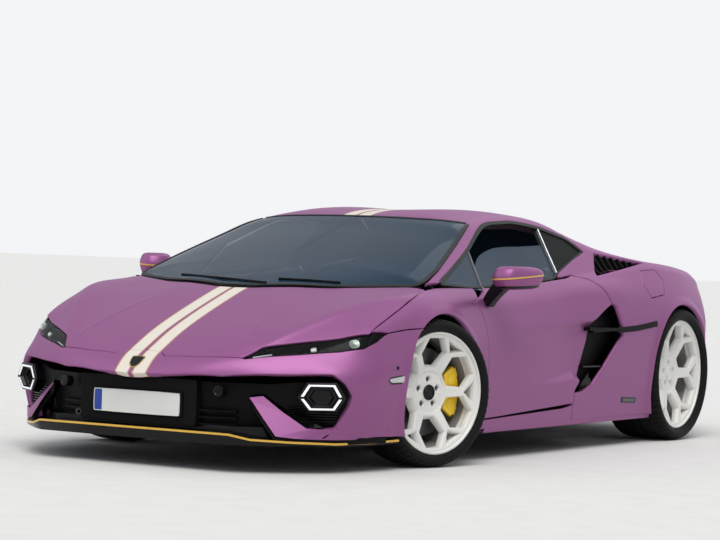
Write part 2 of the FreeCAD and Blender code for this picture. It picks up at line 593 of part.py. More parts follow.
FRONT_HALF = 112.0
REAR_HALF = 137.0
FRONT_DISC_INNER = -31.0
REAR_DISC_INNER = -50.0
FRONT_HUB_X = FRONT_TRACK / 2
REAR_HUB_X = REAR_TRACK / 2
front_rim = rim(FRONT_RIM_RADIUS, FRONT_HALF, FRONT_DISC_INNER)
rear_rim = rim(REAR_RIM_RADIUS, REAR_HALF, REAR_DISC_INNER)
front_tyre = tyre(FRONT_TYRE_RADIUS, FRONT_RIM_RADIUS, FRONT_TYRE_WIDTH)
rear_tyre = tyre(REAR_TYRE_RADIUS, REAR_RIM_RADIUS, REAR_TYRE_WIDTH)
front_place = V(FRONT_HUB_X, FRONT_AXLE_Y, FRONT_TYRE_RADIUS)
rear_place = V(REAR_HUB_X, REAR_AXLE_Y, REAR_TYRE_RADIUS)
for name, shape in (("wheel", front_rim), ("tyre", front_tyre)):
    placed = shape.translated(front_place)
    save(name + "_front_left", steered(placed, STEER_PIVOT_X))
    save(name + "_front_right", steered(mirrored(placed), -STEER_PIVOT_X))
for name, shape in (("wheel", rear_rim), ("tyre", rear_tyre)):
    placed = shape.translated(rear_place)
    save(name + "_rear_left", placed)
    save(name + "_rear_right", mirrored(placed))

# Knuckles with stub axles and calipers
PIN_RADIUS = 12.0
EYE_RADIUS = 24.0
CALIPER_HALF = 40.0
PAD_GAP = 2.0
FRONT_DISC_CENTRE = FRONT_DISC_INNER + DISC_THICKNESS / 2
REAR_DISC_CENTRE = REAR_DISC_INNER + DISC_THICKNESS / 2
ARM_HEIGHTS = (170.0, 505.0)
FRONT_Z = FRONT_TYRE_RADIUS
REAR_Z = REAR_TYRE_RADIUS


def caliper(hub_x, disc_centre, axle_y, axle_z, towards):
    """Caliper over the disc's edge, on one side of the axle."""
    x = hub_x + disc_centre
    shell = Part.makeCylinder(232, 2 * CALIPER_HALF, V(x - CALIPER_HALF, axle_y, axle_z), V(1, 0, 0))
    shell = shell.cut(Part.makeCylinder(132, 120, V(x - 60, axle_y, axle_z), V(1, 0, 0)))
    slot_half = DISC_THICKNESS / 2 + PAD_GAP
    slot = Part.makeCylinder(DISC_RADIUS + 6, 2 * slot_half, V(x - slot_half, axle_y, axle_z), V(1, 0, 0))
    sector = box(x - 60, x + 60, min(0, towards * 245), max(0, towards * 245), -125, 125)
    return shell.cut(slot).common(sector.translated(V(0, axle_y, axle_z)))


front_hub = cylinder((835, FRONT_AXLE_Y, FRONT_Z), (1, 0, 0), BORE_RADIUS - PIVOT_GAP, 120)
BRACKET_X = FRONT_HUB_X + FRONT_DISC_CENTRE - CALIPER_HALF
front_upright = box(768, BRACKET_X, FRONT_AXLE_Y - 42, FRONT_AXLE_Y + 42, 205, 470)
eyes = []
for z, height in ((192, 26), (483, 26)):
    eye = cylinder((STEER_PIVOT_X, FRONT_AXLE_Y, z), (0, 0, 1), EYE_RADIUS, height)
    eyes.append(eye)
bracket = box(768, BRACKET_X, FRONT_AXLE_Y + 40, FRONT_AXLE_Y + 160, 300, 386)
front_caliper = caliper(FRONT_HUB_X, FRONT_DISC_CENTRE, FRONT_AXLE_Y, FRONT_Z, 1)
knuckle = fuse(front_upright, front_hub, bracket, *eyes)
kingpin_bore = cylinder((STEER_PIVOT_X, FRONT_AXLE_Y, FRONT_Z), (0, 0, 1), PIN_RADIUS + PIVOT_GAP, 400)
kingpin_bore = kingpin_bore.cut(box(700, 900, FRONT_AXLE_Y - 50, FRONT_AXLE_Y + 50, 225, 450))
knuckle = knuckle.cut(kingpin_bore)
knuckle = knuckle.cut(front_caliper)
save("knuckle_left", steered(knuckle, STEER_PIVOT_X))
save("knuckle_right", steered(mirrored(knuckle), -STEER_PIVOT_X))
save("caliper_front_left", steered(front_caliper, STEER_PIVOT_X))
save("caliper_front_right", steered(mirrored(front_caliper), -STEER_PIVOT_X))

rear_hub = cylinder((795, REAR_AXLE_Y, REAR_Z), (1, 0, 0), BORE_RADIUS - PIVOT_GAP, 180)
rear_upright = box(690, 740, REAR_AXLE_Y - 60, REAR_AXLE_Y + 60, 215, 500)
rear_caliper = caliper(REAR_HUB_X, REAR_DISC_CENTRE, REAR_AXLE_Y, REAR_Z, -1)
REAR_BRACKET_X = REAR_HUB_X + REAR_DISC_CENTRE - CALIPER_HALF
rear_bracket = box(690, REAR_BRACKET_X, REAR_AXLE_Y - 160, REAR_AXLE_Y - 55, 315, 405)
upright = fuse(rear_upright, rear_hub, rear_bracket).cut(rear_caliper)
save("rear_uprights", pair(upright))
save("rear_calipers", pair(rear_caliper))

# Wishbones between the frames and the uprights
RAIL_X = 390.0
RAIL_INNER = 310.0


def wishbone(axle_y, z, outer_x, neck_x, spread, thick):
    """Flat two-legged arm with its outer end at the upright."""
    outline = ((outer_x, axle_y - 20), (outer_x, axle_y + 20), (neck_x, axle_y + 24),
               (RAIL_X, axle_y + spread), (RAIL_X, axle_y + spread - 40), (neck_x - 60, axle_y),
               (RAIL_X, axle_y - spread + 40), (RAIL_X, axle_y - spread), (neck_x, axle_y - 24))
    return plan_prism(outline, z + thick / 2, z - thick / 2)


front_arms = []
for z, eye_z in ((164, 192), (511, 483)):
    arm = wishbone(FRONT_AXLE_Y, z, STEER_PIVOT_X + PIN_RADIUS, 560, 190, 28)
    pin_length = abs(eye_z - z) + 24
    pin = cylinder((STEER_PIVOT_X, FRONT_AXLE_Y, (z + eye_z) / 2), (0, 0, 1), PIN_RADIUS, pin_length)
    front_arms.append(arm.fuse(pin))
rear_arms = [wishbone(REAR_AXLE_Y, z, 690, 600, 210, 30) for z in (240, 470)]
save("wishbones", pair(Part.makeCompound(front_arms + rear_arms)))

# Frames that carry the arms, the nose and the tail
front_frame = fuse(
    box(RAIL_INNER, RAIL_X, front(-930), front(-225), 178, 250),
    box(RAIL_INNER, RAIL_X, front(-230), front(-190), 150, 560),
    box(RAIL_INNER, RAIL_X, front(150), front(190), 150, 560),
    box(RAIL_INNER, RAIL_X, front(-230), front(190), 150, 178),
    box(RAIL_INNER, RAIL_X, front(-230), front(190), 490, 530),
    box(0, RAIL_X, front(-930), front(-880), 178, 250))
front_frame = whole(front_frame)
rear_frame = fuse(
    box(330, RAIL_X, rear(-868), rear(690), 225, 330), box(330, RAIL_X, rear(-210), rear(210), 330, 486),
    box(0, RAIL_X, rear(-560), rear(-480), 175, 226), box(0, RAIL_X, rear(250), rear(330), 175, 226),
    box(345, 375, rear(600), rear(640), 170, 230))
rear_frame = whole(rear_frame).cut(tail).cut(diffuser)
save("rear_frame", rear_frame)
engine_block = box(-270, 270, rear(-830), rear(-120), 226, 720)
gearbox = box(-170, 170, rear(-121), rear(520), 226, 470)
engine = fuse(engine_block, gearbox)
save("engine", engine)

# Tub: floor, footwell, inner sills and bulkheads
FOOTWELL = 300.0
tub = fuse(
    box(-FOOTWELL, FOOTWELL, front(-420), front(470), FLOOR_Z, 150),
    box(-865, 865, front(450), rear(-870), FLOOR_Z, 150),
    box(-FOOTWELL, FOOTWELL, front(-225), front(-195), 150, 690),
    box(-FOOTWELL, -FOOTWELL + 20, front(-200), front(470), 150, 640),
    box(FOOTWELL - 20, FOOTWELL, front(-200), front(470), 150, 640),
    box(-775, -FOOTWELL + 20, front(445), front(470), 150, 690),
    box(FOOTWELL - 20, 775, front(445), front(470), 150, 690),
    box(700, 790, front(445), rear(-870), 149, 340), box(-790, -700, front(445), rear(-870), 149, 340),
    box(-790, 790, rear(-900), rear(-870), 149, 860))
JACK_PLACES = [(x, y) for x in (-760, 760) for y in (front(560), rear(-930))]
for x, y in JACK_PLACES:
    tub = tub.fuse(cylinder((x, y, FLOOR_Z - 5), (0, 0, 1), 36, 10))
tub = tub.cut(sill).cut(mirrored(sill)).cut(front_frame)
TOW_RADIUS = 8.0
TOW_PLACE = (-360.0, front(-1012), 214.0)
tow_boss = Part.makeCylinder(20, 90, V(*TOW_PLACE), V(0, 1, 0))
front_frame = front_frame.fuse(tow_boss).cut(Part.makeCylinder(TOW_RADIUS, 60, V(*TOW_PLACE), V(0, 1, 0)))
tow_room = Part.makeCylinder(20 + FIT_GAP, 140, V(*TOW_PLACE) - V(0, 60, 0), V(0, 1, 0))
nose_grille = whole(grille).cut(tow_room)
front_frame = front_frame.cut(nose_grille).cut(splitter)
save("front_grille", nose_grille)
save("front_frame", front_frame)
save("tub", tub)

# Front boot, open at the top
boot = box(0, 300, front(-760), front(-240), 300, 640).cut(box(-9, 290, front(-750), front(-250), 310, 700))
boot = boot.fuse(box(0, 300, front(-700), front(-300), 240, 301)).common(HULL.translated(V(0, 0, -LID - 8)))
boot = boot.fuse(box(280, 312, front(-700), front(-300), 240, 280))
save("front_boot", whole(boot).cut(front_frame).cut(tub))

# Wheel housings
LINER_RADIUS = HOUSING_RADIUS + LINER
LINER_WALL_X = 548.0
front_liner = Part.makeCylinder(LINER_RADIUS, 400, V(LINER_WALL_X, FRONT_AXLE_Y, FRONT_Z), V(1, 0, 0))
front_liner = front_liner.cut(
    Part.makeCylinder(HOUSING_RADIUS, 420, V(LINER_WALL_X - 8, FRONT_AXLE_Y, FRONT_Z), V(1, 0, 0)))
liner_face = V(LINER_WALL_X - LINER, FRONT_AXLE_Y, FRONT_Z)
liner_wall = Part.makeCylinder(LINER_RADIUS, LINER, liner_face, V(1, 0, 0))
front_liner = front_liner.fuse(liner_wall.common(box(500, 600, front(-420), front(420), 560, 800)))
front_liner = front_liner.common(box(500, HOUSING_OUTER_X, front(-420), front(420), 300, 800)).cut(hood_room)
front_liner = main_solid(front_liner.cut(fender).cut(bumper).cut(door_room).cut(sill))
rear_liner = Part.makeCylinder(391, 330, V(610, REAR_AXLE_Y, REAR_Z), V(1, 0, 0))
rear_liner = rear_liner.cut(Part.makeCylinder(391 - LINER, 400, V(600, REAR_AXLE_Y, REAR_Z), V(1, 0, 0)))
rear_liner = rear_liner.common(box(600, 940, rear(-400), rear(400), 330, 800)).cut(quarter).cut(tail)
save("arch_liners", pair(Part.makeCompound([front_liner, main_solid(rear_liner)])))

# Side intakes: recessed ducts with a blade across, and the slatted upper intakes
duct = HULL.translated(V(-70, 40, 0)).common(side_intake).cut(HULL.translated(V(-84, 40, 0)))
duct = duct.cut(door_room).cut(REAR_ARCH).cut(quarter)
FIN_COUNT = 9
FIN_PITCH = 56.0
FIN_THICKNESS = 9.0
BLADE_LINE = ((rear(-1120), 612), (rear(-745), 606), (rear(-745), 622), (rear(-1120), 630))
blade = skin(side_prism(BLADE_LINE, WIDE, 700), (-80, 0, 0))
blade = blade.cut(duct).cut(door_room).cut(quarter)
slats = HULL.translated(V(-26, 0, -6)).common(upper_intake).cut(HULL.translated(V(-40, 0, -10)))
fin_zone = HULL.translated(V(-8, 0, -3)).common(upper_intake).cut(HULL.translated(V(-32, 0, -8)))
fin_places = [rear(-800) + FIN_PITCH * i for i in range(FIN_COUNT)]
fins = [fin_zone.common(box(500, WIDE, y, y + FIN_THICKNESS, 850, 1100)) for y in fin_places]
slats = fuse(slats, *fins).cut(quarter)
save("side_ducts", pair(Part.makeCompound(solids(duct) + solids(blade) + solids(slats))))

# Cabin: dashboard, seats, steering wheel and the glass behind the seats
dash_profile = ((front(240), 560), (front(240), 740), (front(330), 790), (front(540), 770),
                (front(580), 700), (front(540), 600))
dash = side_prism(dash_profile, 770, 0)
column_axis = V(0, -math.cos(math.radians(24)), -math.sin(math.radians(24)))
WHEEL_CENTRE = V(370, front(690), 730)
column = Part.makeCylinder(26, 180, WHEEL_CENTRE + column_axis * 20, column_axis)
dash_room = Part.makeCylinder(LINER_RADIUS + FIT_GAP, 400, V(538, FRONT_AXLE_Y, FRONT_Z), V(1, 0, 0))
dash = whole(dash.cut(dash_room)).fuse(column)
tunnel = box(-110, 110, front(470), rear(-900), 150, 400)
save("dashboard", fuse(dash, tunnel, box(-110, 110, front(470), front(560), 399, 640)).cut(tub))
hoop = Part.makeTorus(168, 14, WHEEL_CENTRE, column_axis)
boss = Part.makeCylinder(48, 36, WHEEL_CENTRE - column_axis * 16.3, column_axis)
bar = box(-165, 165, -20, 20, -8, 8)
bar.Placement = FreeCAD.Placement(WHEEL_CENTRE, FreeCAD.Rotation(V(0, 0, 1), column_axis))
steering_wheel = hoop.fuse(boss).fuse(bar)
save("steering_wheel", steering_wheel)

seat_profile = ((front(930), 150), (front(920), 330), (front(1330), 275), (rear(-1120), 930),
                (rear(-1010), 940), (rear(-1080), 600), (rear(-1160), 150))
seat = side_prism(seat_profile, 610, 130)
save("seats", pair(seat))
back_glass = box(0, 560, rear(-892), rear(-884), 860, 1150).common(HULL.translated(V(0, 0, -LID - 12)))
save("bulkhead_glass", whole(back_glass.cut(rear_frame)))

# Door mirrors on short stalks
mirror_base = ((985, front(480)), (1030, front(425)), (1085, front(450)), (1120, front(610)),
               (1100, front(640)), (1000, front(560)))
mirror_top = ((960, front(470)), (1010, front(400)), (1085, front(430)), (1132, front(615)),
              (1105, front(655)), (985, front(570)))


def mirror_wire(outline, z):
    """Closed outline at one height."""
    points = [V(x, y, z) for x, y in outline]
    return Part.makePolygon(points + points[:1])


mirror_sections = [mirror_wire(mirror_base, 842), mirror_wire(mirror_top, 880),
                   mirror_wire(mirror_base, 935)]
housing = Part.makeLoft(mirror_sections, True, True)
stalk_face = ((880, 0, 775), (915, 0, 715), (1040, 0, 850), (990, 0, 850))
stalk = prism(stalk_face, (0, 1, 0), front(480), front(560))
mirror_piece = housing.fuse(stalk.cut(housing)).cut(door_panel)
mirror_piece = main_solid(mirror_piece)
save("mirror_left", mirror_piece)
save("mirror_right", mirrored(mirror_piece))
cowl_strip = whole(cowl)
wipers = Part.makeCompound([arm.cut(screen).cut(cowl_strip) for arm in (wiper_left, wiper_right)])
save("wipers", wipers)
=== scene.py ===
"""Two-seat mid-engined supercar in satin violet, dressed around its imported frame.

+X is the car's left, -Y its nose and +Z up, in metres. Lengthwise places in the tables are in
millimetres from the front or the rear axle, as a body draughtsman would give them.
"""
import json
import logging
import math
from dataclasses import dataclass, field
from enum import Enum
from typing import Callable, Iterable, Optional, Sequence

import bpy
import bmesh
import numpy as np
from mathutils import Matrix, Vector
from mathutils.bvhtree import BVHTree
from mathutils.geometry import delaunay_2d_cdt
from mathutils.interpolate import poly_3d_calc


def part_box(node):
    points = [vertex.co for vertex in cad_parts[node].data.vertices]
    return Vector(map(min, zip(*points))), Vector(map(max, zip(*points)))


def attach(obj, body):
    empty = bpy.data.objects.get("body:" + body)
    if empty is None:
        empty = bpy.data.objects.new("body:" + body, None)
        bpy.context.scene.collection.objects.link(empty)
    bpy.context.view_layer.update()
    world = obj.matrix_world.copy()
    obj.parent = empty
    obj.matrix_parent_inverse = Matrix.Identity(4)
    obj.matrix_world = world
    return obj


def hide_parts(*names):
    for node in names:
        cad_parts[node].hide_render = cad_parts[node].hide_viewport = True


log = logging.getLogger("supercar")
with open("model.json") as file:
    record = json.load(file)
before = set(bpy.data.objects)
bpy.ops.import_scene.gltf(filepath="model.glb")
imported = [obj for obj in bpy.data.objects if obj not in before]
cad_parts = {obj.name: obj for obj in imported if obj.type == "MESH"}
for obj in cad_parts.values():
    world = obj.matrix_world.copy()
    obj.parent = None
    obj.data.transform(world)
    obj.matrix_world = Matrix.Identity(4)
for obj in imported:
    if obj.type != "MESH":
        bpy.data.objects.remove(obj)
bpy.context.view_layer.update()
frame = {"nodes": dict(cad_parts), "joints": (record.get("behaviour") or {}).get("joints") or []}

MM = 0.001
JOINTS = {joint["name"]: joint for joint in frame["joints"]}
FRONT_AXLE = Vector(JOINTS["steer_left"]["pos_m"])
REAR_AXLE = Vector(JOINTS["rear_left_spin"]["pos_m"])
FRONT_Y = FRONT_AXLE.y / MM
REAR_Y = REAR_AXLE.y / MM
FRONT_TYRE_R = 0.343
REAR_TYRE_R = 0.361
FRONT_ARCH_R = 0.363
REAR_ARCH_R = 0.381
SHUT_GAP = 0.0022
EDGE_R = 0.0022
UP = Vector((0, 0, 1))

Point = Sequence[float]
Flat = Iterable[Sequence[float]]


class Side(Enum):
    """Which side of the car a piece is on."""
    LEFT = 1
    RIGHT = -1


def front(offset: float) -> float:
    """Lengthwise place in millimetres, from the front axle."""
    return FRONT_Y + offset


def rear(offset: float) -> float:
    """Lengthwise place in millimetres, from the rear axle."""
    return REAR_Y + offset


# Body sections from the centre line out and down. Each row is y, the centre's z, then x and z of the
# roof bubble, ridge, glass foot, fender crest, shoulder, waist, flank and sill.
SECTIONS = (
    (front(-1130), 412, 20, 412, 40, 412, 50, 412, 60, 411, 80, 409, 100, 404, 90, 394, 60, 388),
    (front(-1099), 446, 80, 446, 130, 445, 155, 443, 180, 440, 250, 430, 280, 412, 260, 380, 200, 360),
    (front(-1062), 480, 110, 480, 190, 479, 230, 475, 270, 470, 340, 455, 385, 418, 370, 300, 330, 160),
    (front(-967), 535, 180, 534, 300, 533, 350, 528, 400, 522, 500, 503, 600, 420, 590, 300, 540, 145),
    (front(-868), 587, 230, 586, 464, 577, 500, 572, 541, 565, 640, 520, 745, 424, 735, 300, 680, 145),
    (front(-767), 632, 215, 631, 432, 630, 520, 622, 600, 620, 755, 545, 892, 436, 885, 320, 830, 145),
    (front(-677), 668, 200, 667, 405, 666, 530, 657, 645, 660, 850, 572, 945, 440, 938, 320, 885, 150),
    (front(-587), 702, 190, 702, 378, 700, 540, 690, 695, 700, 912, 623, 968, 450, 960, 330, 915, 150),
    (front(-417), 763, 160, 763, 325, 762, 560, 745, 785, 758, 925, 690, 982, 480, 975, 340, 940, 150),
    (front(-307), 800, 145, 800, 292, 798, 570, 772, 845, 780, 938, 715, 986, 500, 978, 350, 945, 150),
    (front(-177), 822, 150, 822, 300, 820, 600, 806, 893, 793, 948, 735, 988, 520, 980, 350, 948, 150),
    (front(-77), 832, 160, 832, 400, 830, 700, 818, 893, 800, 952, 742, 990, 535, 980, 350, 948, 150),
    (front(60), 836, 200, 836, 600, 834, 838, 824, 890, 806, 952, 748, 990, 540, 978, 350, 945, 150),
    (front(223), 984, 420, 968, 778, 905, 842, 826, 880, 815, 935, 755, 975, 550, 962, 350, 938, 150),
    (front(403), 1042, 400, 1027, 731, 976, 842, 825, 868, 815, 915, 762, 958, 560, 955, 380, 938, 150),
    (front(623), 1112, 380, 1098, 672, 1062, 838, 828, 858, 818, 905, 768, 950, 565, 953, 380, 938, 150),
    (front(773), 1163, 350, 1156, 630, 1120, 836, 832, 857, 822, 904, 772, 949, 570, 953, 380, 939, 150),
    (front(893), 1183, 350, 1188, 618, 1142, 836, 837, 857, 827, 904, 776, 948, 575, 954, 380, 940, 150),
    (front(1073), 1197, 350, 1208, 610, 1166, 836, 849, 857, 839, 905, 788, 950, 586, 955, 380, 941, 150),
    (rear(-1335), 1200, 350, 1215, 605, 1185, 838, 868, 858, 858, 908, 805, 955, 600, 958, 380, 942, 148),
    (rear(-1095), 1186, 350, 1203, 635, 1166, 840, 885, 862, 876, 922, 830, 965, 625, 963, 380, 942, 148),
    (rear(-835), 1140, 380, 1155, 712, 1083, 842, 915, 868, 900, 938, 840, 978, 640, 970, 380, 945, 148),
    (rear(-597), 1085, 400, 1095, 800, 1013, 848, 940, 885, 920, 952, 822, 988, 640, 978, 380, 948, 150),
    (rear(-295), 1016, 420, 1020, 858, 975, 875, 962, 902, 938, 968, 800, 994, 640, 985, 385, 950, 152),
    (rear(0), 966, 420, 968, 868, 957, 886, 944, 908, 925, 972, 790, 998, 640, 990, 400, 955, 160),
    (rear(350), 925, 420, 927, 845, 922, 862, 906, 882, 885, 935, 775, 968, 640, 955, 430, 920, 220),
    (rear(505), 912, 420, 914, 800, 898, 815, 883, 832, 864, 870, 770, 905, 645, 890, 470, 860, 300),
    (rear(665), 905, 420, 907, 740, 890, 752, 878, 765, 860, 785, 770, 805, 650, 795, 500, 770, 330),
    (rear(785), 900, 400, 902, 620, 888, 640, 872, 655, 850, 680, 765, 690, 650, 680, 500, 650, 350),
    (rear(855), 895, 250, 896, 400, 885, 430, 868, 460, 845, 490, 760, 500, 650, 490, 500, 460, 360),
)
# Where the screen meets the cowl the upper columns of the cabin start anew
CABIN_START = (
    (front(-292), 812, 40, 812, 90, 811, 130, 805),
    (front(-177), 853, 230, 845, 452, 822, 476, 812),
    (front(-77), 886, 330, 874, 622, 829, 648, 817),
    (front(60), 930, 420, 915, 812, 838, 838, 824),
)
HOOD_END = (
    (front(223), 838, 300, 838, 700, 832, 842, 826),
    (front(520), 838, 300, 838, 700, 832, 842, 825),
)
TOP_COLUMNS = 7
LENGTH_STEP = 10.0
NOSE_END = front(500)
CABIN_FROM = front(-290)
# Smoothing along the car: close at the nose, loose from a little behind it
TIGHT_UNTIL, TIGHT_FADE = front(-900), 250
TIGHT_FAIRING, LOOSE_FAIRING = 1.5, 5.0
SCREEN_SLOPE = 0.36
SCREEN_CROWN = (6.5e-5, 1.13e-10)
# Half width of the rounding at the centre and at each of the eight places
NOSE_ROUND = (120, 160, 30, 120, 34, 46, 60, 60, 12)
CABIN_ROUND = (120, 160, 60, 14, 34, 60, 90, 60, 12)
SCREEN_FOOT = ((0, front(-292)), (95, front(-288)), (280, front(-236)), (460, front(-177)),
               (630, front(-77)), (720, front(-10)), (790, front(45)))
STRIPE_NOSE_Y = -2.33
STRIPE_COWL_Y = -1.515
STRIPE_WIDTH = 0.066
STRIPE_NOSE_GAP = 0.0145  # half the gap between the stripes
STRIPE_COWL_GAP = 0.010
STRIPE_SOFT = 0.0006
GOLD_NEAR = 0.0015  # the gold edges' distances from the stripe
GOLD_FAR = 0.0055
GOLD_INNER_FAR = 0.0050
CENTRE_STEP = 1e-4  # keeps rays off the edge of a half skin


# Curves

def monotone(xs: np.ndarray, ys: np.ndarray, at: np.ndarray) -> np.ndarray:
    """Smooth curve through points that doesn't overshoot them.

    Args:
        xs: Places of the points, rising.
        ys: Values at the points.
        at: Places to evaluate.

    Returns:
        The values there.
    """
    step = np.diff(xs)
    slope = np.diff(ys) / step
    tangent = np.zeros(len(xs))
    tangent[0], tangent[-1] = slope[0], slope[-1]
    for i in range(1, len(xs) - 1):
        if slope[i - 1] * slope[i] > 0:
            a = 2 * step[i] + step[i - 1]
            b = step[i] + 2 * step[i - 1]
            tangent[i] = (a + b) / (a / slope[i - 1] + b / slope[i])
    i = np.clip(np.searchsorted(xs, at) - 1, 0, len(xs) - 2)
    h = step[i]
    t = (at - xs[i]) / h
    return ((2 * t ** 3 - 3 * t ** 2 + 1) * ys[i] + (t ** 3 - 2 * t ** 2 + t) * h * tangent[i]
            + (3 * t ** 2 - 2 * t ** 3) * ys[i + 1] + (t ** 3 - t ** 2) * h * tangent[i + 1])


def faired(values: np.ndarray, sigma: float) -> np.ndarray:
    """Evenly spaced values smoothed by a bell of that width in samples, with the ends held."""
    if sigma < 0.3:
        return values
    reach = int(sigma * 3) + 1
    bell = np.exp(-0.5 * (np.arange(-reach, reach + 1) / sigma) ** 2)
    bell /= bell.sum()
    head = 2 * values[0] - values[reach:0:-1]
    tail = 2 * values[-1] - values[-2:-reach - 2:-1]
    return np.convolve(np.concatenate([head, values, tail]), bell, mode="valid")


def columns(rows: Sequence[Sequence[float]], at: np.ndarray) -> np.ndarray:
    """Each column of a table as a faired curve along the car.

    Args:
        rows: Table rows that start with y.
        at: Evenly spaced lengthwise places.

    Returns:
        One row for each place, without y.
    """
    table = np.array(rows, float)
    covered = (at >= table[0, 0]) & (at <= table[-1, 0])
    out = np.zeros((len(at), table.shape[1] - 1))
    blend = np.clip((at[covered] - TIGHT_UNTIL) / TIGHT_FADE, 0, 1)
    for column in range(1, table.shape[1]):
        raw = monotone(table[:, 0], table[:, column], at[covered])
        tight, loose = faired(raw, TIGHT_FAIRING), faired(raw, LOOSE_FAIRING)
        out[covered, column - 1] = tight * (1 - blend) + loose * blend
    return out


def rounded_section(points: np.ndarray, rounding: Sequence[float]) -> np.ndarray:
    """Half section with its corners rounded, from the centre line down to the sill.

    Args:
        points: The centre and the eight places, as x and z.
        rounding: Half width of each rounding.

    Returns:
        The places along the section.
    """
    mirror = points[1] * (-1, 1)
    chain = np.vstack([mirror, points])
    out = []
    for j in range(1, len(chain) - 1):
        before, corner, after = chain[j - 1], chain[j], chain[j + 1]
        legs = np.linalg.norm(before - corner), np.linalg.norm(after - corner)
        reach = min(rounding[j - 1], 0.48 * legs[0], 0.48 * legs[1])
        a = corner + (before - corner) / max(legs[0], 1e-6) * reach
        b = corner + (after - corner) / max(legs[1], 1e-6) * reach
        ts = np.linspace(0.5 if j == 1 else 0, 1, 5 if j == 1 else 7)[:, None]
        out.append((1 - ts) ** 2 * a + 2 * ts * (1 - ts) * corner + ts ** 2 * b)
        if j < len(chain) - 2:
            following = chain[j + 2] - after
            gap = min(rounding[j], 0.48 * legs[1], 0.48 * np.linalg.norm(following))
            end = after - (after - corner) / max(legs[1], 1e-6) * gap
            ts = np.linspace(0, 1, 7)[1:-1, None]
            out.append(b * (1 - ts) + end * ts)
    out.append(chain[-1:])
    section = np.vstack(out)
    section[0, 0] = 0
    return section


class Skin:
    """A smooth half surface of the body that panels are cut from."""

    def __init__(self, grid: np.ndarray) -> None:
        """Args: grid: Points of the surface, rows along the car by columns round the section."""
        rows, cols = grid.shape[:2]
        self.points = grid.reshape(-1, 3)
        index = np.arange(rows * cols).reshape(rows, cols)
        a, b, c, d = index[:-1, :-1], index[:-1, 1:], index[1:, 1:], index[1:, :-1]
        tris = np.concatenate([np.stack([a, b, c], -1).reshape(-1, 3),
                               np.stack([a, c, d], -1).reshape(-1, 3)])
        p = self.points
        cross = np.cross(p[tris[:, 1]] - p[tris[:, 0]], p[tris[:, 2]] - p[tris[:, 0]])
        keep = np.linalg.norm(cross, axis=1) > 1e-12
        self.tris, cross = tris[keep], cross[keep]
        normals = np.zeros_like(p)
        for k in range(3):
            np.add.at(normals, self.tris[:, k], cross)
        length = np.linalg.norm(normals, axis=1, keepdims=True)
        self.normals = normals / np.maximum(length, 1e-12)
        if self.normals[:, 2].mean() < 0:
            self.normals *= -1
        self.tree = BVHTree.FromPolygons([Vector(v) for v in p], self.tris.tolist(),
                                         all_triangles=True)

    def hit(self, point: Point, direction: Vector) -> tuple[Vector, Vector]:
        """Where a ray from outside meets the surface.

        Args:
            point: A point on the ray.
            direction: The way in.

        Returns:
            The place and the smooth outward normal there.
        """
        start = Vector(point) - direction * 5
        place, _, index, _ = self.tree.ray_cast(start, direction)
        if place is None:
            place, _, index, _ = self.tree.find_nearest(Vector(point))
        return place, self.normal_at(place, index)

    def normal_at(self, place: Vector, index: int) -> Vector:
        """Smooth outward normal at a place on a numbered triangle."""
        corners = self.tris[index]
        weights = poly_3d_calc([Vector(self.points[c]) for c in corners], place)
        normal = sum((Vector(self.normals[c]) * w for c, w in zip(corners, weights)), Vector())
        return normal.normalized()

    def sides(self, line: Flat) -> list[Vector]:
        """Places on the left side from their y and z."""
        return [self.side(y, z) for y, z in line]

    def plans(self, line: Flat) -> list[Vector]:
        """Places on top from their x and y."""
        return [self.plan(x, y) for x, y in line]

    def faces(self, line: Flat, way: int = 1) -> list[Vector]:
        """Places on the nose or tail from their x and z."""
        return [self.face(x, z, way) for x, z in line]

    def side(self, y: float, z: float) -> Vector:
        """Place on the left side seen from the side, from millimetres."""
        return self.hit((1.0, y * MM, z * MM), Vector((-1, 0, 0)))[0]

    def plan(self, x: float, y: float) -> Vector:
        """Place on top seen from above, from millimetres."""
        place = self.hit((max(x, 0.5) * MM, y * MM, 1.0), Vector((0, 0, -1)))[0]
        return Vector((0, place.y, place.z)) if x == 0 else place

    def face(self, x: float, z: float, way: int = 1) -> Vector:
        """Place on the nose or tail seen from its end, from millimetres."""
        place = self.hit((max(x, 0.5) * MM, 0, z * MM), Vector((0, way, 0)))[0]
        return Vector((0, place.y, place.z)) if x == 0 else place


def grid_from(at: np.ndarray, table: np.ndarray, rounding: Sequence[float]) -> np.ndarray:
    """Surface points in metres from section columns."""
    rows = []
    for y, row in zip(at, table):
        points = np.array([(0, row[0])] + list(zip(row[1::2], row[2::2])))
        section = rounded_section(points, rounding)
        rows.append(np.column_stack([section[:, 0], np.full(len(section), y), section[:, 1]]))
    return np.array(rows) * MM


def closing(section: np.ndarray) -> np.ndarray:
    """Flat end of a body from its last section."""
    return np.array([section * (scale, 1, 1) for scale in (0.985, 0.7, 0.35, 0.0)])


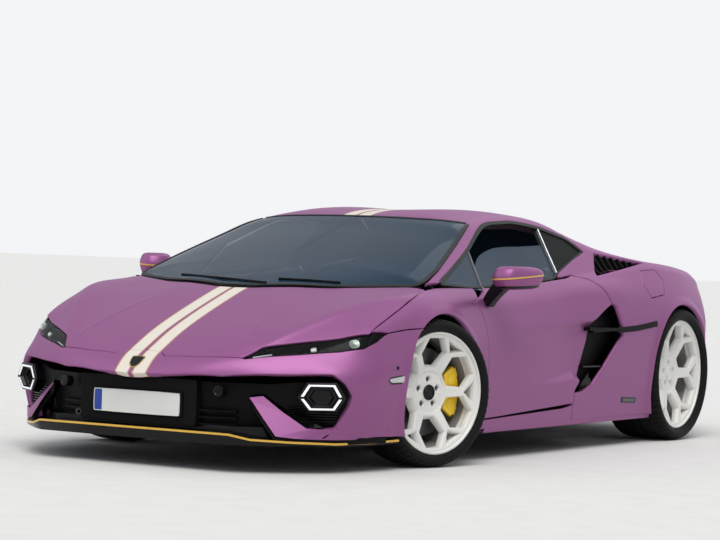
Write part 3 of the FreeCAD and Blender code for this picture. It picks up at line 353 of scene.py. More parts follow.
def body_skins() -> tuple[Skin, Skin, Skin]:
    """The nose, the cabin with the tail, and the windscreen."""
    at = np.arange(SECTIONS[0][0], SECTIONS[-1][0] + 0.1, LENGTH_STEP)
    lower = columns(SECTIONS, at)
    join = next(i for i, row in enumerate(SECTIONS) if row[0] == front(60))
    nose_rows = [row[:TOP_COLUMNS + 1] for row in SECTIONS[:join + 1]] + list(HOOD_END)
    cabin_rows = list(CABIN_START) + [row[:TOP_COLUMNS + 1] for row in SECTIONS[join + 1:]]
    nose_at, cabin_at = at <= NOSE_END, at >= CABIN_FROM
    nose_top, cabin_top = columns(nose_rows, at), columns(cabin_rows, at)
    nose = np.hstack([nose_top[nose_at], lower[nose_at][:, TOP_COLUMNS:]])
    cabin = np.hstack([cabin_top[cabin_at], lower[cabin_at][:, TOP_COLUMNS:]])
    nose_grid = grid_from(at[nose_at], nose, NOSE_ROUND)
    cabin_grid = grid_from(at[cabin_at], cabin, CABIN_ROUND)
    cabin_grid = np.concatenate([cabin_grid, closing(cabin_grid[-1])])
    nose_grid = np.concatenate([closing(nose_grid[0])[::-1], nose_grid])
    screen_y = np.arange(front(-320), front(900), LENGTH_STEP)
    centre = columns([row[:2] for row in cabin_rows[:9]], screen_y)
    foot_y, foot_z = CABIN_START[0][:2]
    below = screen_y < foot_y
    centre[below, 0] = foot_z + (screen_y[below] - foot_y) * SCREEN_SLOPE
    fall = np.interp(screen_y, (front(-292), front(-177), front(-77), front(60)),
                     (2.0, 1.7, 1.36, 1.0))
    x = np.linspace(0, 880, 60)
    z = centre[:, :1] - fall[:, None] * (SCREEN_CROWN[0] * x ** 2 + SCREEN_CROWN[1] * x ** 4)[None]
    screen = np.stack([np.broadcast_to(x, z.shape), np.broadcast_to(screen_y[:, None], z.shape), z],
                      -1) * MM
    return Skin(nose_grid), Skin(cabin_grid), Skin(screen)


NOSE, CABIN, SCREEN = body_skins()


# Outlines in a plane

def softened(points: np.ndarray, radius: float) -> np.ndarray:
    """Closed outline with its corners rounded, apart from those on the centre line."""
    out = []
    n = len(points)
    for i in range(n):
        before, corner, after = points[i - 1], points[i], points[(i + 1) % n]
        a, b = before[:2] - corner[:2], after[:2] - corner[:2]
        la, lb = np.linalg.norm(a), np.linalg.norm(b)
        turn = 1.0 if min(la, lb) < 1e-6 else -np.dot(a, b) / (la * lb)
        if turn > 0.985 or corner[2] > 0.5:
            out.append(corner)
            continue
        reach = min(radius, 0.4 * la, 0.4 * lb)
        start = corner + (before - corner) * reach / la
        end = corner + (after - corner) * reach / lb
        for t in (0, 0.25, 0.5, 0.75, 1):
            place = (1 - t) ** 2 * start + 2 * t * (1 - t) * corner + t ** 2 * end
            place[2] = 0
            out.append(place)
    return np.array(out)


def walked(points: np.ndarray, step: float) -> np.ndarray:
    """Closed outline with a point at least every step."""
    out = []
    for a, b in zip(points, np.roll(points, -1, axis=0)):
        count = max(1, int(math.ceil(np.linalg.norm(b[:2] - a[:2]) / step)))
        for i in range(count):
            place = a + (b - a) * i / count
            if i:
                place[2] = 1.0 if a[2] > 0.5 and b[2] > 0.5 else 0.0
            out.append(place)
    return np.array(out)


def area(points: np.ndarray) -> float:
    """Signed area of a closed outline."""
    x, y = points[:, 0], points[:, 1]
    return 0.5 * float(np.sum(x * np.roll(y, -1) - np.roll(x, -1) * y))


def inset(points: np.ndarray, distance: float) -> np.ndarray:
    """Counter-clockwise outline moved inwards, apart from what lies on the centre line."""
    ahead = np.roll(points, -1, axis=0)[:, :2] - points[:, :2]
    ahead /= np.maximum(np.linalg.norm(ahead, axis=1, keepdims=True), 1e-9)
    normal = np.stack([-ahead[:, 1], ahead[:, 0]], -1)
    on_centre = (points[:, 2] > 0.5) & (np.roll(points[:, 2], -1) > 0.5)
    normal[on_centre] = 0
    earlier = np.roll(normal, 1, axis=0)
    both = normal + earlier
    scale = 1 + np.sum(normal * earlier, axis=1)
    out = points.copy()
    out[:, :2] += both / np.maximum(scale, 0.6)[:, None] * distance
    return out


def inside(points: np.ndarray, loop: np.ndarray) -> np.ndarray:
    """Which points lie inside a closed outline."""
    result = np.zeros(len(points), bool)
    x, y = points[:, 0], points[:, 1]
    for a, b in zip(loop, np.roll(loop, -1, axis=0)):
        if a[1] == b[1]:
            continue
        crosses = (a[1] > y) != (b[1] > y)
        result ^= crosses & (x < (b[0] - a[0]) * (y - a[1]) / (b[1] - a[1]) + a[0])
    return result


def clear_of(points: np.ndarray, loop: np.ndarray, distance: float) -> np.ndarray:
    """Which points lie at least that far from a closed outline's points."""
    if not len(points):
        return np.zeros(0, bool)
    gaps = np.min(np.linalg.norm(points[:, None, :2] - loop[None, :, :2], axis=2), axis=1)
    return gaps > distance


@dataclass
class Sheet:
    """Mesh data with a normal for each corner point."""
    points: np.ndarray
    normals: np.ndarray
    faces: list

    def mirrored(self) -> "Sheet":
        """The same on the car's other side."""
        flip = np.array((-1, 1, 1))
        return Sheet(self.points * flip, self.normals * flip,
                     [tuple(reversed(f)) for f in self.faces])

    def pair(self) -> "Sheet":
        """This and its mirror image as one mesh."""
        twin, count = self.mirrored(), len(self.points)
        faces = list(self.faces) + [tuple(i + count for i in f) for f in twin.faces]
        return Sheet(np.vstack([self.points, twin.points]), np.vstack([self.normals, twin.normals]),
                     faces)

    def whole(self) -> "Sheet":
        """This half and its mirror image, welded on the centre line."""
        n = len(self.points)
        centre = np.abs(self.points[:, 0]) < 1e-6
        twin = np.where(centre, np.arange(n), -1)
        twin[~centre] = n + np.arange(int((~centre).sum()))
        flip = np.array((-1, 1, 1))
        points = np.vstack([self.points, self.points[~centre] * flip])
        normals = np.vstack([self.normals, self.normals[~centre] * flip])
        faces = list(self.faces) + [tuple(int(twin[i]) for i in reversed(f)) for f in self.faces]
        return Sheet(points, normals, faces)


Relief = Callable[[np.ndarray], np.ndarray]


def raised(points: np.ndarray, normals: np.ndarray, relief: Optional[Relief]) -> tuple[np.ndarray,
                                                                                       np.ndarray]:
    """Moves surface points out by a relief and tilts their normals to suit."""
    if relief is None:
        return points, normals
    eps = 0.0015
    side = np.cross(normals, (0.0, 0.0, 1.0))
    flat = np.linalg.norm(side, axis=1) < 1e-3
    side[flat] = (1, 0, 0)
    side /= np.linalg.norm(side, axis=1, keepdims=True)
    other = np.cross(normals, side)
    out = normals.copy()
    for way in (side, other):
        slope = (relief(points + way * eps) - relief(points - way * eps)) / (2 * eps)
        out -= slope[:, None] * way
    out /= np.linalg.norm(out, axis=1, keepdims=True)
    return points + normals * relief(points)[:, None], out


def filled(loops: Sequence[np.ndarray], spacing: float) -> tuple[np.ndarray, list, list, set]:
    """Triangles that fill an outline and leave its holes open.

    Args:
        loops: The outline and its holes, as u, v and a flag for the centre line.
        spacing: Size of the triangles.

    Returns:
        The places, the triangles, each loop's place numbers and those on the centre line.
    """
    low, high = loops[0][:, :2].min(axis=0), loops[0][:, :2].max(axis=0)
    vs = np.arange(low[1], high[1], spacing * 0.87)
    lattice = np.array([(u, v) for row, v in enumerate(vs)
                        for u in np.arange(low[0] + (row % 2) * spacing / 2, high[0], spacing)])
    keep = inside(lattice, loops[0])
    for loop in loops[1:]:
        keep &= ~inside(lattice, loop)
    lattice = lattice[keep]
    for loop in loops:
        lattice = lattice[clear_of(lattice, loop, spacing * 0.5)]
    flat = np.vstack([loop[:, :2] for loop in loops] + [lattice])
    edges, starts, count = [], [], 0
    for loop in loops:
        n = len(loop)
        starts.append(count)
        edges += [(count + i, count + (i + 1) % n) for i in range(n)]
        count += n
    verts, _, tris, origin, _, _ = delaunay_2d_cdt([Vector(p) for p in flat], edges, [], 0, 1e-7)
    where = np.array([tuple(v) for v in verts])
    middles = np.array([where[list(t)].mean(axis=0) for t in tris])
    good = inside(middles, loops[0])
    for loop in loops[1:]:
        good &= ~inside(middles, loop)
    new_of = {}
    for new, olds in enumerate(origin):
        for old in olds:
            new_of[old] = new
    rings = [[new_of[start + i] for i in range(len(loop))] for start, loop in zip(starts, loops)]
    flags = np.concatenate([loop[:, 2] for loop in loops])
    on_centre = {new_of[i] for i in range(count) if flags[i] > 0.5}
    kept = [t for t, ok in zip(tris, good) if ok]
    return where, kept, rings, on_centre


def panel(skin: Skin, outline: Sequence[Vector], way_out: Point, spacing: float = 0.016,
          depth: float = 0.012, holes: Sequence[Sequence[Vector]] = (),
          relief: Optional[Relief] = None, gap: float = SHUT_GAP, corner: float = 0.006,
          lower: float = 0.0, edge: float = EDGE_R) -> Sheet:
    """A body panel with rolled edges, cut from a skin.

    Args:
        skin: The surface it lies on.
        outline: Its outline in space. A run of points at x = 0 is the centre line.
        way_out: Outward direction that the whole panel can be seen from.
        spacing: Size of its facets.
        depth: Thickness behind the surface.
        holes: Outlines of holes.
        relief: Height above the surface from place.
        gap: Distance kept from its outline on every free edge.
        corner: Radius of its corners in plan.
        lower: Distance below the surface, as for glass.
        edge: Radius of the rolled edge.

    Returns:
        The panel as one closed shell, open only on the centre line.
    """
    out = Vector(way_out).normalized()
    u_axis = Vector((0, 1, 0)).cross(out) if abs(out.y) < 0.5 else Vector((0, 0, 1)).cross(out)
    u_axis.normalize()
    v_axis = out.cross(u_axis)
    loops = []
    for number, line in enumerate([outline, *holes]):
        flat = np.array([(p.dot(u_axis), p.dot(v_axis), 1.0 if abs(p.x) < 1e-6 else 0.0)
                         for p in line])
        if (area(flat) < 0) != (number > 0):
            flat = flat[::-1]
        flat = walked(softened(flat, corner), spacing * 0.7)
        loops.append(inset(flat, gap + edge if number == 0 else edge))
    where, tris, rings, on_centre = filled(loops, spacing)
    used = sorted({i for t in tris for i in t} | {i for ring in rings for i in ring})
    number = {old: new for new, old in enumerate(used)}
    points, normals = np.zeros((len(used), 3)), np.zeros((len(used), 3))
    for old, new in number.items():
        u, v = where[old]
        nudge = Vector((CENTRE_STEP if old in on_centre else 0, 0, 0))
        place, normal = skin.hit(u_axis * u + v_axis * v + nudge, -out)
        if old in on_centre:
            place.x, normal.x = 0, 0
            normal.normalize()
        points[new], normals[new] = place, normal
    points, normals = raised(points, normals, relief)
    points = points - normals * lower
    faces = []
    for t in tris:
        f = [number[i] for i in t]
        cross = np.cross(points[f[1]] - points[f[0]], points[f[2]] - points[f[0]])
        if np.dot(cross, normals[f[0]]) < 0:
            f.reverse()
        faces.append(tuple(f))
    return thickened(points, normals, faces, [[number[i] for i in ring] for ring in rings],
                     {number[i] for i in on_centre}, depth, edge)


def plate(outline: np.ndarray, holes: Sequence[np.ndarray],
          height: Callable[[np.ndarray], np.ndarray], spacing: float, depth: float, edge: float,
          draft: float = 0.0, corner: float = 0.005) -> Sheet:
    """A pierced plate across the local X axis.

    Args:
        outline: Its outline in local Y and Z.
        holes: Outlines of its holes.
        height: Local X of the face from the distance to the centre.
        spacing: Size of its facets.
        depth: Thickness.
        edge: Width of the chamfer.
        draft: Growth of the plate's web behind the face.
        corner: Radius of its corners.

    Returns:
        The closed plate.
    """
    loops = []
    for number, line in enumerate([outline, *holes]):
        flat = np.column_stack([line, np.zeros(len(line))])
        if (area(flat) < 0) != (number > 0):
            flat = flat[::-1]
        loops.append(walked(softened(flat, corner) if corner else flat, spacing))
    where, tris, rings, _ = filled(loops, spacing)
    radius = np.hypot(where[:, 0], where[:, 1])
    slope = (height(radius + 0.0005) - height(radius - 0.0005)) / 0.001
    away = where / np.maximum(radius, 1e-6)[:, None]
    points = np.column_stack([height(radius), where])
    normals = np.column_stack([np.ones(len(where)), -slope[:, None] * away])
    normals /= np.linalg.norm(normals, axis=1, keepdims=True)
    faces = []
    for t in tris:
        f = list(t)
        if np.cross(points[f[1]] - points[f[0]], points[f[2]] - points[f[0]])[0] < 0:
            f.reverse()
        faces.append(tuple(f))
    return thickened(points, normals, faces, rings, set(), depth, edge, draft)


def thickened(points: np.ndarray, normals: np.ndarray, faces: list, rings: list, on_centre: set,
              depth: float, edge: float, draft: float = 0.0) -> Sheet:
    """Gives a surface its rolled edges, walls and back."""
    total = len(points)
    rim_points, rim_normals, back_of = [], [], {}
    walls = []
    for ring in rings:
        n = len(ring)
        grow = draft if np.ptp(points[ring], axis=0).max() > 0.05 else 0.0
        first = total + len(rim_points)
        for i, me in enumerate(ring):
            ahead = points[ring[(i + 1) % n]] - points[ring[i - 1]]
            normal = normals[me]
            side = np.cross(ahead, normal)
            side /= max(np.linalg.norm(side), 1e-9)
            if me in on_centre:
                side[0] = 0
                side *= 0.0 if np.linalg.norm(side) < 0.5 else 1.0
            rolled = points[me] + side * edge - normal * edge
            deep = points[me] + side * (edge + grow) - normal * depth
            middle = (normal + side) / max(np.linalg.norm(normal + side), 1e-9)
            wall = side if np.linalg.norm(side) > 0.5 else normal
            if me in on_centre:
                rolled[0], deep[0] = 0, 0
            rim_points += [rolled, deep]
            rim_normals += [middle, wall]
            back_of[me] = first + 2 * i + 1
        for i in range(n):
            j = (i + 1) % n
            if ring[i] in on_centre and ring[j] in on_centre:
                continue
            a, b = first + 2 * i, first + 2 * j
            walls += [(ring[i], a, b, ring[j]), (a, a + 1, b + 1, b)]
    count = total + len(rim_points)
    back_points, back_normals = [], []
    for i in range(total):
        if i not in back_of:
            back_of[i] = count + len(back_points)
            back_points.append(points[i] - normals[i] * depth)
            back_normals.append(-normals[i])
    backs = [tuple(back_of[i] for i in reversed(f)) for f in faces]
    blocks = [points, np.array(rim_points).reshape(-1, 3)]
    norms = [normals, np.array(rim_normals).reshape(-1, 3)]
    if back_points:
        blocks.append(np.array(back_points))
        norms.append(np.array(back_normals))
    return Sheet(np.vstack(blocks), np.vstack(norms), faces + walls + backs)


# Outlines on the left half, in millimetres

HOOD_NOSE = ((0, front(-1008)), (86, front(-1014)), (128, front(-1043)), (301, front(-1022)),
             (487, front(-968)), (539, front(-888)), (600, front(-838)), (702, front(-752)),
             (806, front(-669)), (903, front(-573)))
HOOD_RIDGES = (((530, front(-900)), (800, front(-440))), ((462, front(-930)), (330, front(-430))))
HOOD_SIDE = ((908, front(-446)), (907, front(-321)), (900, front(-200)), (880, front(-110)),
             (858, front(-40)), (845, front(18)), (800, front(22)), (757, front(4)))
LAMP_LOWER = ((500, front(-966)), (591, front(-902)), (698, front(-824)), (834, front(-711)))
LAMP_OUTER = ((front(-626), 555), (front(-543), 588))
LAMP_TIP = (front(-470), 623)
FENDER_CUT = ((front(-345), 637), (front(-238), 642))
GRILLE_FACE = ((733, 150), (744, 200), (800, 196), (850, 206), (900, 300), (912, 345), (895, 395),
               (848, 440), (640, 434), (430, 417), (200, 413), (0, 408))
DOOR_FRONT = ((front(466), 200), (front(466), 420), (front(464), 560), (front(457), 650),
              (front(430), 712), (front(385), 757), (front(440), 782), (front(540), 806))
DOOR_REAR = ((rear(-1100), 893), (rear(-989), 872), (rear(-885), 793), (rear(-848), 747),
             (rear(-930), 716), (rear(-1062), 655), (rear(-1094), 560), (rear(-1200), 358),
             (rear(-1254), 305), (rear(-1262), 240))
INTAKE_LOWER = ((rear(-1250), 296), (rear(-1140), 303), (rear(-1050), 335), (rear(-930), 430),
                (rear(-745), 587), (rear(-750), 630), (rear(-800), 738))
UPPER_INTAKE = ((rear(-728), 1013), (rear(-306), 965), (rear(-640), 922), (rear(-868), 894))
FLAP = ((rear(-400), 925), (rear(-231), 932), (rear(-170), 876), (rear(-215), 796),
        (rear(-383), 776), (rear(-440), 851))
PANE = ((front(190), 838), (front(660), 1005), (front(575), 816), (front(470), 826),
        (front(300), 830))
WINDOW = ((front(583), 812), (front(668), 990), (front(972), 1120), (front(1150), 1143),
          (front(1294), 1148), (rear(-1158), 1131), (rear(-1235), 885), (rear(-1300), 872),
          (front(1073), 852), (front(773), 835))
LOWERED = ((front(583), 812), (front(655), 932), (front(760), 984), (front(960), 1028),
           (front(1255), 1042), (rear(-1190), 1052), (rear(-1235), 885), (rear(-1300), 872),
           (front(1073), 852), (front(773), 835))
REAR_PANE = ((rear(-1142), 1125), (rear(-920), 1079), (rear(-827), 1012), (rear(-1000), 964),
             (rear(-1228), 899))
ENGINE_LINE = ((0, rear(-1001)), (500, rear(-1001)), (640, rear(-597)), (690, rear(-295)),
               (690, rear(0)), (640, rear(400)), (0, rear(400)))
TAIL_LAMP = ((482, 762), (534, 814), (666, 814), (712, 768), (666, 712), (534, 712))
TAIL_GRILLE = ((0, 552), (380, 560), (452, 640), (452, 784), (402, 832), (0, 838))
EXHAUST_HEX = ((-128, 0), (-78, 72), (78, 72), (128, 0), (78, -72), (-78, -72))
EXHAUST_Z = 0.672
QUARTER_END = rear(470)
GLASS_FOOT_X = 843
UNDER_Z = 152
UNDER_CABIN_Z = 153
WINDOW_ARCH = ((front(196), 848), (front(430), 927), (front(655), 1006), (front(960), 1128),
               (front(1150), 1149), (front(1294), 1154), (rear(-1150), 1134), (rear(-1001), 1100),
               (rear(-925), 1083), (rear(-832), 1017))
BELT_LINE = ((rear(-832), 1017), (rear(-1000), 968), (rear(-1225), 902), (rear(-1300), 876),
             (front(1073), 856), (front(773), 839), (front(470), 829), (front(196), 842))
MARKER = ((front(-512), 412), (front(-500), 428), (front(-360), 441), (front(-360), 396),
          (front(-490), 396))
MARKER_LENS = ((front(-504), 413), (front(-497), 422), (front(-364), 434), (front(-364), 404),
               (front(-488), 404))
INTAKE_RING = ((735, -864, 336), (766, -848, 392), (862, -793, 394), (893, -780, 339),
               (860, -788, 288), (770, -842, 286))
FIN_FRONT = ((560, -975, 306), (606, -974, 250), (672, -962, 167), (735, -904, 158),
             (800, -826, 154), (852, -748, 152), (890, -660, 152), (912, -560, 152),
             (934, -450, 152))
FIN_TOP = ((561, -973, 308), (662, -898, 271), (762, -852, 201), (812, -806, 198), (853, -762, 202),
           (879, -700, 200), (906, -640, 198), (928, -560, 198), (948, -450, 198))
FIN_TIP = ((540, -977, 329), (577, -925, 336))
BLADE_EDGE = ((0, -1110, 171), (220, -1108, 171), (515, -1099, 170), (594, -1044, 150),
              (724, -922, 141), (857, -754, 134), (908, -549, 134), (948, -362, 139))
SHIELD = ((0, 486), (34, 484), (36, 474), (30, 452), (15, 438), (0, 433))
MIRROR_OUTLINE = ((948, 480), (966, 438), (1006, 402), (1050, 404), (1092, 430), (1118, 516),
                  (1130, 610), (1127, 672), (1112, 690), (1046, 642), (984, 584), (954, 524))


def curved(line: Sequence[Vector], spacing: float = 0.03) -> list[Vector]:
    """Smooth curve through places, with a place at about every spacing."""
    out = []
    for i, (b, c) in enumerate(zip(line, line[1:])):
        a = line[i - 1] if i else b * 2 - c
        d = line[i + 2] if i < len(line) - 2 else c * 2 - b
        steps = max(1, int(round((c - b).length / spacing)))
        for t in (k / steps for k in range(steps)):
            out.append(0.5 * (2 * b + (c - a) * t + (2 * a - 5 * b + 4 * c - d) * t * t
                              + (3 * b - a - 3 * c + d) * t ** 3))
    out.append(line[-1])
    return out


def arc(axle: Vector, radius: float, start: float, end: float, steps: int) -> list[Vector]:
    """Places on the body's side round a wheel arch.

    Args:
        axle: The wheel's centre.
        radius: The arch's radius in metres.
        start: First angle in degrees, from straight behind and upwards.
        end: Last angle.
        steps: Number of intervals.

    Returns:
        The places.
    """
    skin = NOSE if axle.y < 0 else CABIN
    out = []
    for i in range(steps + 1):
        angle = math.radians(start + (end - start) * i / steps)
        out.append(skin.side((axle.y + radius * math.cos(angle)) / MM,
                             (axle.z + radius * math.sin(angle)) / MM))
    return out


def foot_line(skin: Skin, start: float, end: float) -> list[Vector]:
    """Places along the foot of the side glass."""
    return [skin.plan(GLASS_FOOT_X, y) for y in np.arange(start, end + 1, (end - start) / 12)]


def hood_outline() -> list[Vector]:
    """Outline of half the front lid."""
    line = NOSE.plans(HOOD_NOSE + HOOD_SIDE)
    foot = [(x, y - 26) for x, y in reversed(SCREEN_FOOT[:-1])]
    return line + NOSE.plans(foot)


def lamp_outline() -> list[Vector]:
    """Outline of the left headlamp."""
    upper = NOSE.plans(HOOD_NOSE[4:])
    lower = NOSE.plans(LAMP_LOWER) + NOSE.sides(LAMP_OUTER)
    return upper + [NOSE.side(*LAMP_TIP)] + lower[::-1]


def bumper_outline() -> list[Vector]:
    """Outline of half the nose, with the intakes' mouth open at the bottom."""
    top = NOSE.plans(HOOD_NOSE[:5])
    lamp = NOSE.plans(LAMP_LOWER) + NOSE.sides(LAMP_OUTER)
    side = [NOSE.side(*LAMP_TIP)] + NOSE.sides(FENDER_CUT)
    arch = arc(FRONT_AXLE, FRONT_ARCH_R, 125, 212, 22)
    bottom = [NOSE.side(front(y), UNDER_Z) for y in (-420, -587, -677, -767, -830)]
    mouth = NOSE.faces(GRILLE_FACE)
    return top + lamp + side + arch + bottom + mouth


def fender_outline() -> list[Vector]:
    """Outline of the left front fender."""
    top = NOSE.plans(((900, front(-560)),) + HOOD_SIDE[:-2])
    foot = [NOSE.plan(GLASS_FOOT_X, y) for y in (front(100), front(190), front(300), front(400),
                                                 front(470))]
    edge = NOSE.sides(reversed(DOOR_FRONT[:-1]))
    arch = arc(FRONT_AXLE, FRONT_ARCH_R, -23.5, 125, 40)
    cut = NOSE.sides(reversed(FENDER_CUT)) + [NOSE.side(*LAMP_TIP)]
    return top + foot + edge + arch + cut


def door_outline() -> list[Vector]:
    """Outline of the left door's panel."""
    lower = CABIN.sides(DOOR_FRONT)
    foot = foot_line(CABIN, front(575), rear(-1180))
    return lower + foot + CABIN.sides(DOOR_REAR)


def sill_outline() -> list[Vector]:
    """Outline of the left sill."""
    top = CABIN.sides(((front(463), 197), (front(1300), 222), (rear(-1262), 235)))
    front_arch = [NOSE.side(front(y), z) for y, z in ((309, 152), (334, 200))]
    low = [CABIN.side(y, UNDER_Z) for y in (rear(-1262), rear(-1500), front(900), front(500))]
    return front_arch + top + low


def quarter_outline() -> list[Vector]:
    """Outline of the left rear quarter with its buttress."""
    cover = CABIN.plans(ENGINE_LINE[1:6])
    tail = CABIN.plans(((300, rear(402)), (300, QUARTER_END), (500, QUARTER_END),
                                          (700, QUARTER_END), (800, QUARTER_END)))
    end = [CABIN.side(QUARTER_END, z) for z in (860, 780, 700, 600, 480, 380, 300)]
    under = [CABIN.side(rear(400), 262)]
    arch = arc(REAR_AXLE, REAR_ARCH_R, -20, 197, 60)
    lower = [CABIN.side(rear(y), UNDER_CABIN_Z) for y in (-318, -600, -900, -1256)]
    lower.append(CABIN.side(rear(-1256), 240))
    intake = CABIN.sides(INTAKE_LOWER)
    door = CABIN.sides(((rear(-842), 752), (rear(-880), 797), (rear(-984), 876), (rear(-1095), 895),
                                          (rear(-1180), 886), (rear(-1226), 881)))
    pane = CABIN.sides(((rear(-1222), 903), (rear(-1000), 970), (rear(-824), 1016),
                                          (rear(-918), 1084), (rear(-1001), 1100)))
    return cover + tail + end + under + arch + lower + intake + door + pane


def roof_outline() -> list[Vector]:
    """Outline of half the roof with the screen pillars."""
    screen = CABIN.plans(((0, front(776)), (160, front(782)), (320, front(792)), (470, front(826)),
                          (590, front(858)), (612, front(835)), (672, front(640)),
                          (731, front(420)), (778, front(240)), (808, front(80))))
    side = CABIN.sides(((front(190), 846), (front(430), 930), (front(655), 1010),
                        (front(960), 1132), (front(1150), 1153), (front(1294), 1158),
                        (rear(-1150), 1138), (rear(-1001), 1104)))
    back = [CABIN.plan(x, rear(-1009)) for x in (640, 500, 250, 0)]
    return screen + curved(side) + back


def cover_outline() -> list[Vector]:
    """Outline of half the engine cover."""
    return [CABIN.plan(x, y + (6 if y < rear(-900) else 0)) for x, y in ENGINE_LINE]


def tail_outline() -> list[Vector]:
    """Outline of half the tail, open round the grille."""
    top = CABIN.plans(((0, rear(406)), (300, rear(406)), (300, rear(476)), (500, rear(476)),
                                         (700, rear(476)), (800, rear(476))))
    side = [CABIN.side(rear(474), z) for z in (860, 780, 700, 600, 480, 380, 305)]
    bottom = [CABIN.side(rear(y), z) for y, z in ((560, 322), (665, 338), (785, 358))]
    face = CABIN.faces(((440, 366), (220, 366), (0, 366)), -1)
    mouth = CABIN.faces(TAIL_GRILLE, -1)
    return top + side + bottom + face + mouth


def screen_outline() -> list[Vector]:
    """Outline of half the windscreen."""
    foot = SCREEN.plans(SCREEN_FOOT)
    head = SCREEN.plans(((775, front(240)), (728, front(420)), (669, front(640)), (609, front(836)),
                         (588, front(854)), (470, front(822)), (320, front(788)), (160, front(778)),
                         (0, front(772))))
    return foot + head


# Relief of the side panels

FRONT_FLARE = (0.055, 0.010)  # width and height of the arch's lip
REAR_FLARE = (0.06, 0.012)
POCKET_DEPTH = 0.034
RIDGE_HEIGHT, RIDGE_WIDTH = 0.0035, 0.017

def flare(points: np.ndarray, axle: Vector, radius: float, width: float,
          height: float) -> np.ndarray:
    """Raised lip round a wheel arch."""
    r = np.hypot(points[:, 1] - axle.y, points[:, 2] - axle.z)
    s = np.clip((r - radius) / width, 0, 1)
    return height * (1 - s) ** 2 * (1 + 2 * s)


def smooth(x: np.ndarray, low: float, high: float) -> np.ndarray:
    """Smooth step between two values."""
    t = np.clip((x - low) / (high - low), 0, 1)
    return t * t * (3 - 2 * t)


def pocket(points: np.ndarray) -> np.ndarray:
    """Hollow in the door that leads into the side intake, between two creases."""
    y, z = points[:, 1], points[:, 2]
    upper = np.interp(y, (-0.577, -0.136, 0.343), (0.621, 0.640, 0.676))
    ledge = np.interp(y, (-0.50, -0.416, 0.179, 0.31), (0.300, 0.301, 0.364, 0.318))
    along = smooth(y, -0.52, 0.34)
    inside_band = smooth(upper - z, 0.0, 0.055) * smooth(z - ledge, 0.0, 0.05)
    return -POCKET_DEPTH * along ** 1.4 * inside_band


def nose_relief(points: np.ndarray) -> np.ndarray:
    """Nose: the front arch's lip on its sides."""
    return flare(points, FRONT_AXLE, FRONT_ARCH_R, *FRONT_FLARE) * smooth(points[:, 0], 0.86, 0.93)


def hood_relief(points: np.ndarray) -> np.ndarray:
    """Front lid: two fine ridges on each side that spread from the lamps to the screen."""
    height = np.zeros(len(points))
    for (x0, y0), (x1, y1) in HOOD_RIDGES:
        across, along = (x1 - x0) * MM, (y1 - y0) * MM
        length = math.hypot(across, along)
        run = ((points[:, 0] - x0 * MM) * across + (points[:, 1] - y0 * MM) * along) / length
        away = ((points[:, 0] - x0 * MM) * along - (points[:, 1] - y0 * MM) * across) / length
        fade = smooth(run, -0.02, 0.08) * (1 - smooth(run, length - 0.16, length))
        height += RIDGE_HEIGHT * np.exp(-(away / RIDGE_WIDTH) ** 2) * fade
    return height


def fender_relief(points: np.ndarray) -> np.ndarray:
    """Front fender: the arch's lip."""
    return flare(points, FRONT_AXLE, FRONT_ARCH_R, *FRONT_FLARE) * smooth(points[:, 0], 0.80, 0.9)


def quarter_relief(points: np.ndarray) -> np.ndarray:
    """Rear quarter: the arch's lip."""
    return flare(points, REAR_AXLE, REAR_ARCH_R, *REAR_FLARE) * smooth(points[:, 0], 0.80, 0.9)


# Materials

@dataclass(frozen=True)
class Finish:
    """Constants of one surface finish."""
    name: str
    colour: tuple[float, float, float]
    metallic: float = 0.0
    roughness: float = 0.5
    coat: float = 0.0
    coat_roughness: float = 0.1
    ior: float = 1.5
    bump_scale: float = 400.0
    bump: float = 0.02
    mottle: float = 0.06
    mottle_scale: float = 6.0
    emission: float = 0.0
    sheen: float = 0.0
    specular: float = 0.5
    tint: tuple[float, float, float] = (1, 1, 1)


PAINT = Finish("violet_paint", (0.290, 0.094, 0.252), metallic=0.45, roughness=0.44, coat=0.14,
               coat_roughness=0.25, bump_scale=1800, bump=0.006, mottle=0.05, mottle_scale=900,
               tint=(1.0, 0.75, 0.95))
STRIPE = (0.74, 0.68, 0.60)
GOLD = (0.72, 0.42, 0.05)
GLOSS_BLACK = Finish("gloss_black", (0.004, 0.004, 0.005), roughness=0.2, bump=0.004, mottle=0.3,
                     specular=0.24)
MATTE_BLACK = Finish("matte_black", (0.004, 0.004, 0.0045), roughness=0.5, bump_scale=700,
                     bump=0.05, mottle=0.3, specular=0.09)
RUBBER = Finish("rubber_seal", (0.010, 0.010, 0.011), roughness=0.5, bump=0.03, mottle=0.25,
                specular=0.3)
TRIM_GREY = Finish("trim_grey", (0.10, 0.10, 0.105), roughness=0.4, bump=0.01, mottle=0.12,
                   specular=0.4)
WHEEL = Finish("wheel_white", (0.80, 0.79, 0.76), metallic=0.0, roughness=0.36, coat=0.12,
               bump=0.006, mottle=0.05)
CALIPER = Finish("caliper_yellow", (0.95, 0.62, 0.015), roughness=0.32, coat=0.3, bump=0.03,
                 mottle=0.08)
DISC = Finish("brake_disc", (0.10, 0.10, 0.105), metallic=0.9, roughness=0.42, bump=0.03,
              mottle=0.15)
TYRE = Finish("tyre", (0.007, 0.007, 0.0072), roughness=0.68, bump_scale=500, bump=0.06,
              mottle=0.35, sheen=0.02, specular=0.14)
# Glass: its dark blue base and blue-tinted reflections are partly the glass's tint and partly painted sky
# reflection
GLASS = Finish("tinted_glass", (0.007, 0.032, 0.070), roughness=0.02, bump=0.0, mottle=0.5,
               mottle_scale=2.0, specular=0.3, tint=(0.70, 0.88, 1.0))
LENS = Finish("lamp_lens", (0.004, 0.0045, 0.005), roughness=0.04, bump=0.0, specular=0.22)
LAMP_WHITE = Finish("lamp_white", (0.86, 0.88, 0.92), roughness=0.25, coat=0.5, emission=0.35,
                    bump=0.0)
PROJECTOR = Finish("lamp_projector", (0.62, 0.72, 0.66), metallic=0.3, roughness=0.12, coat=0.6,
                   emission=0.12, bump=0.0)
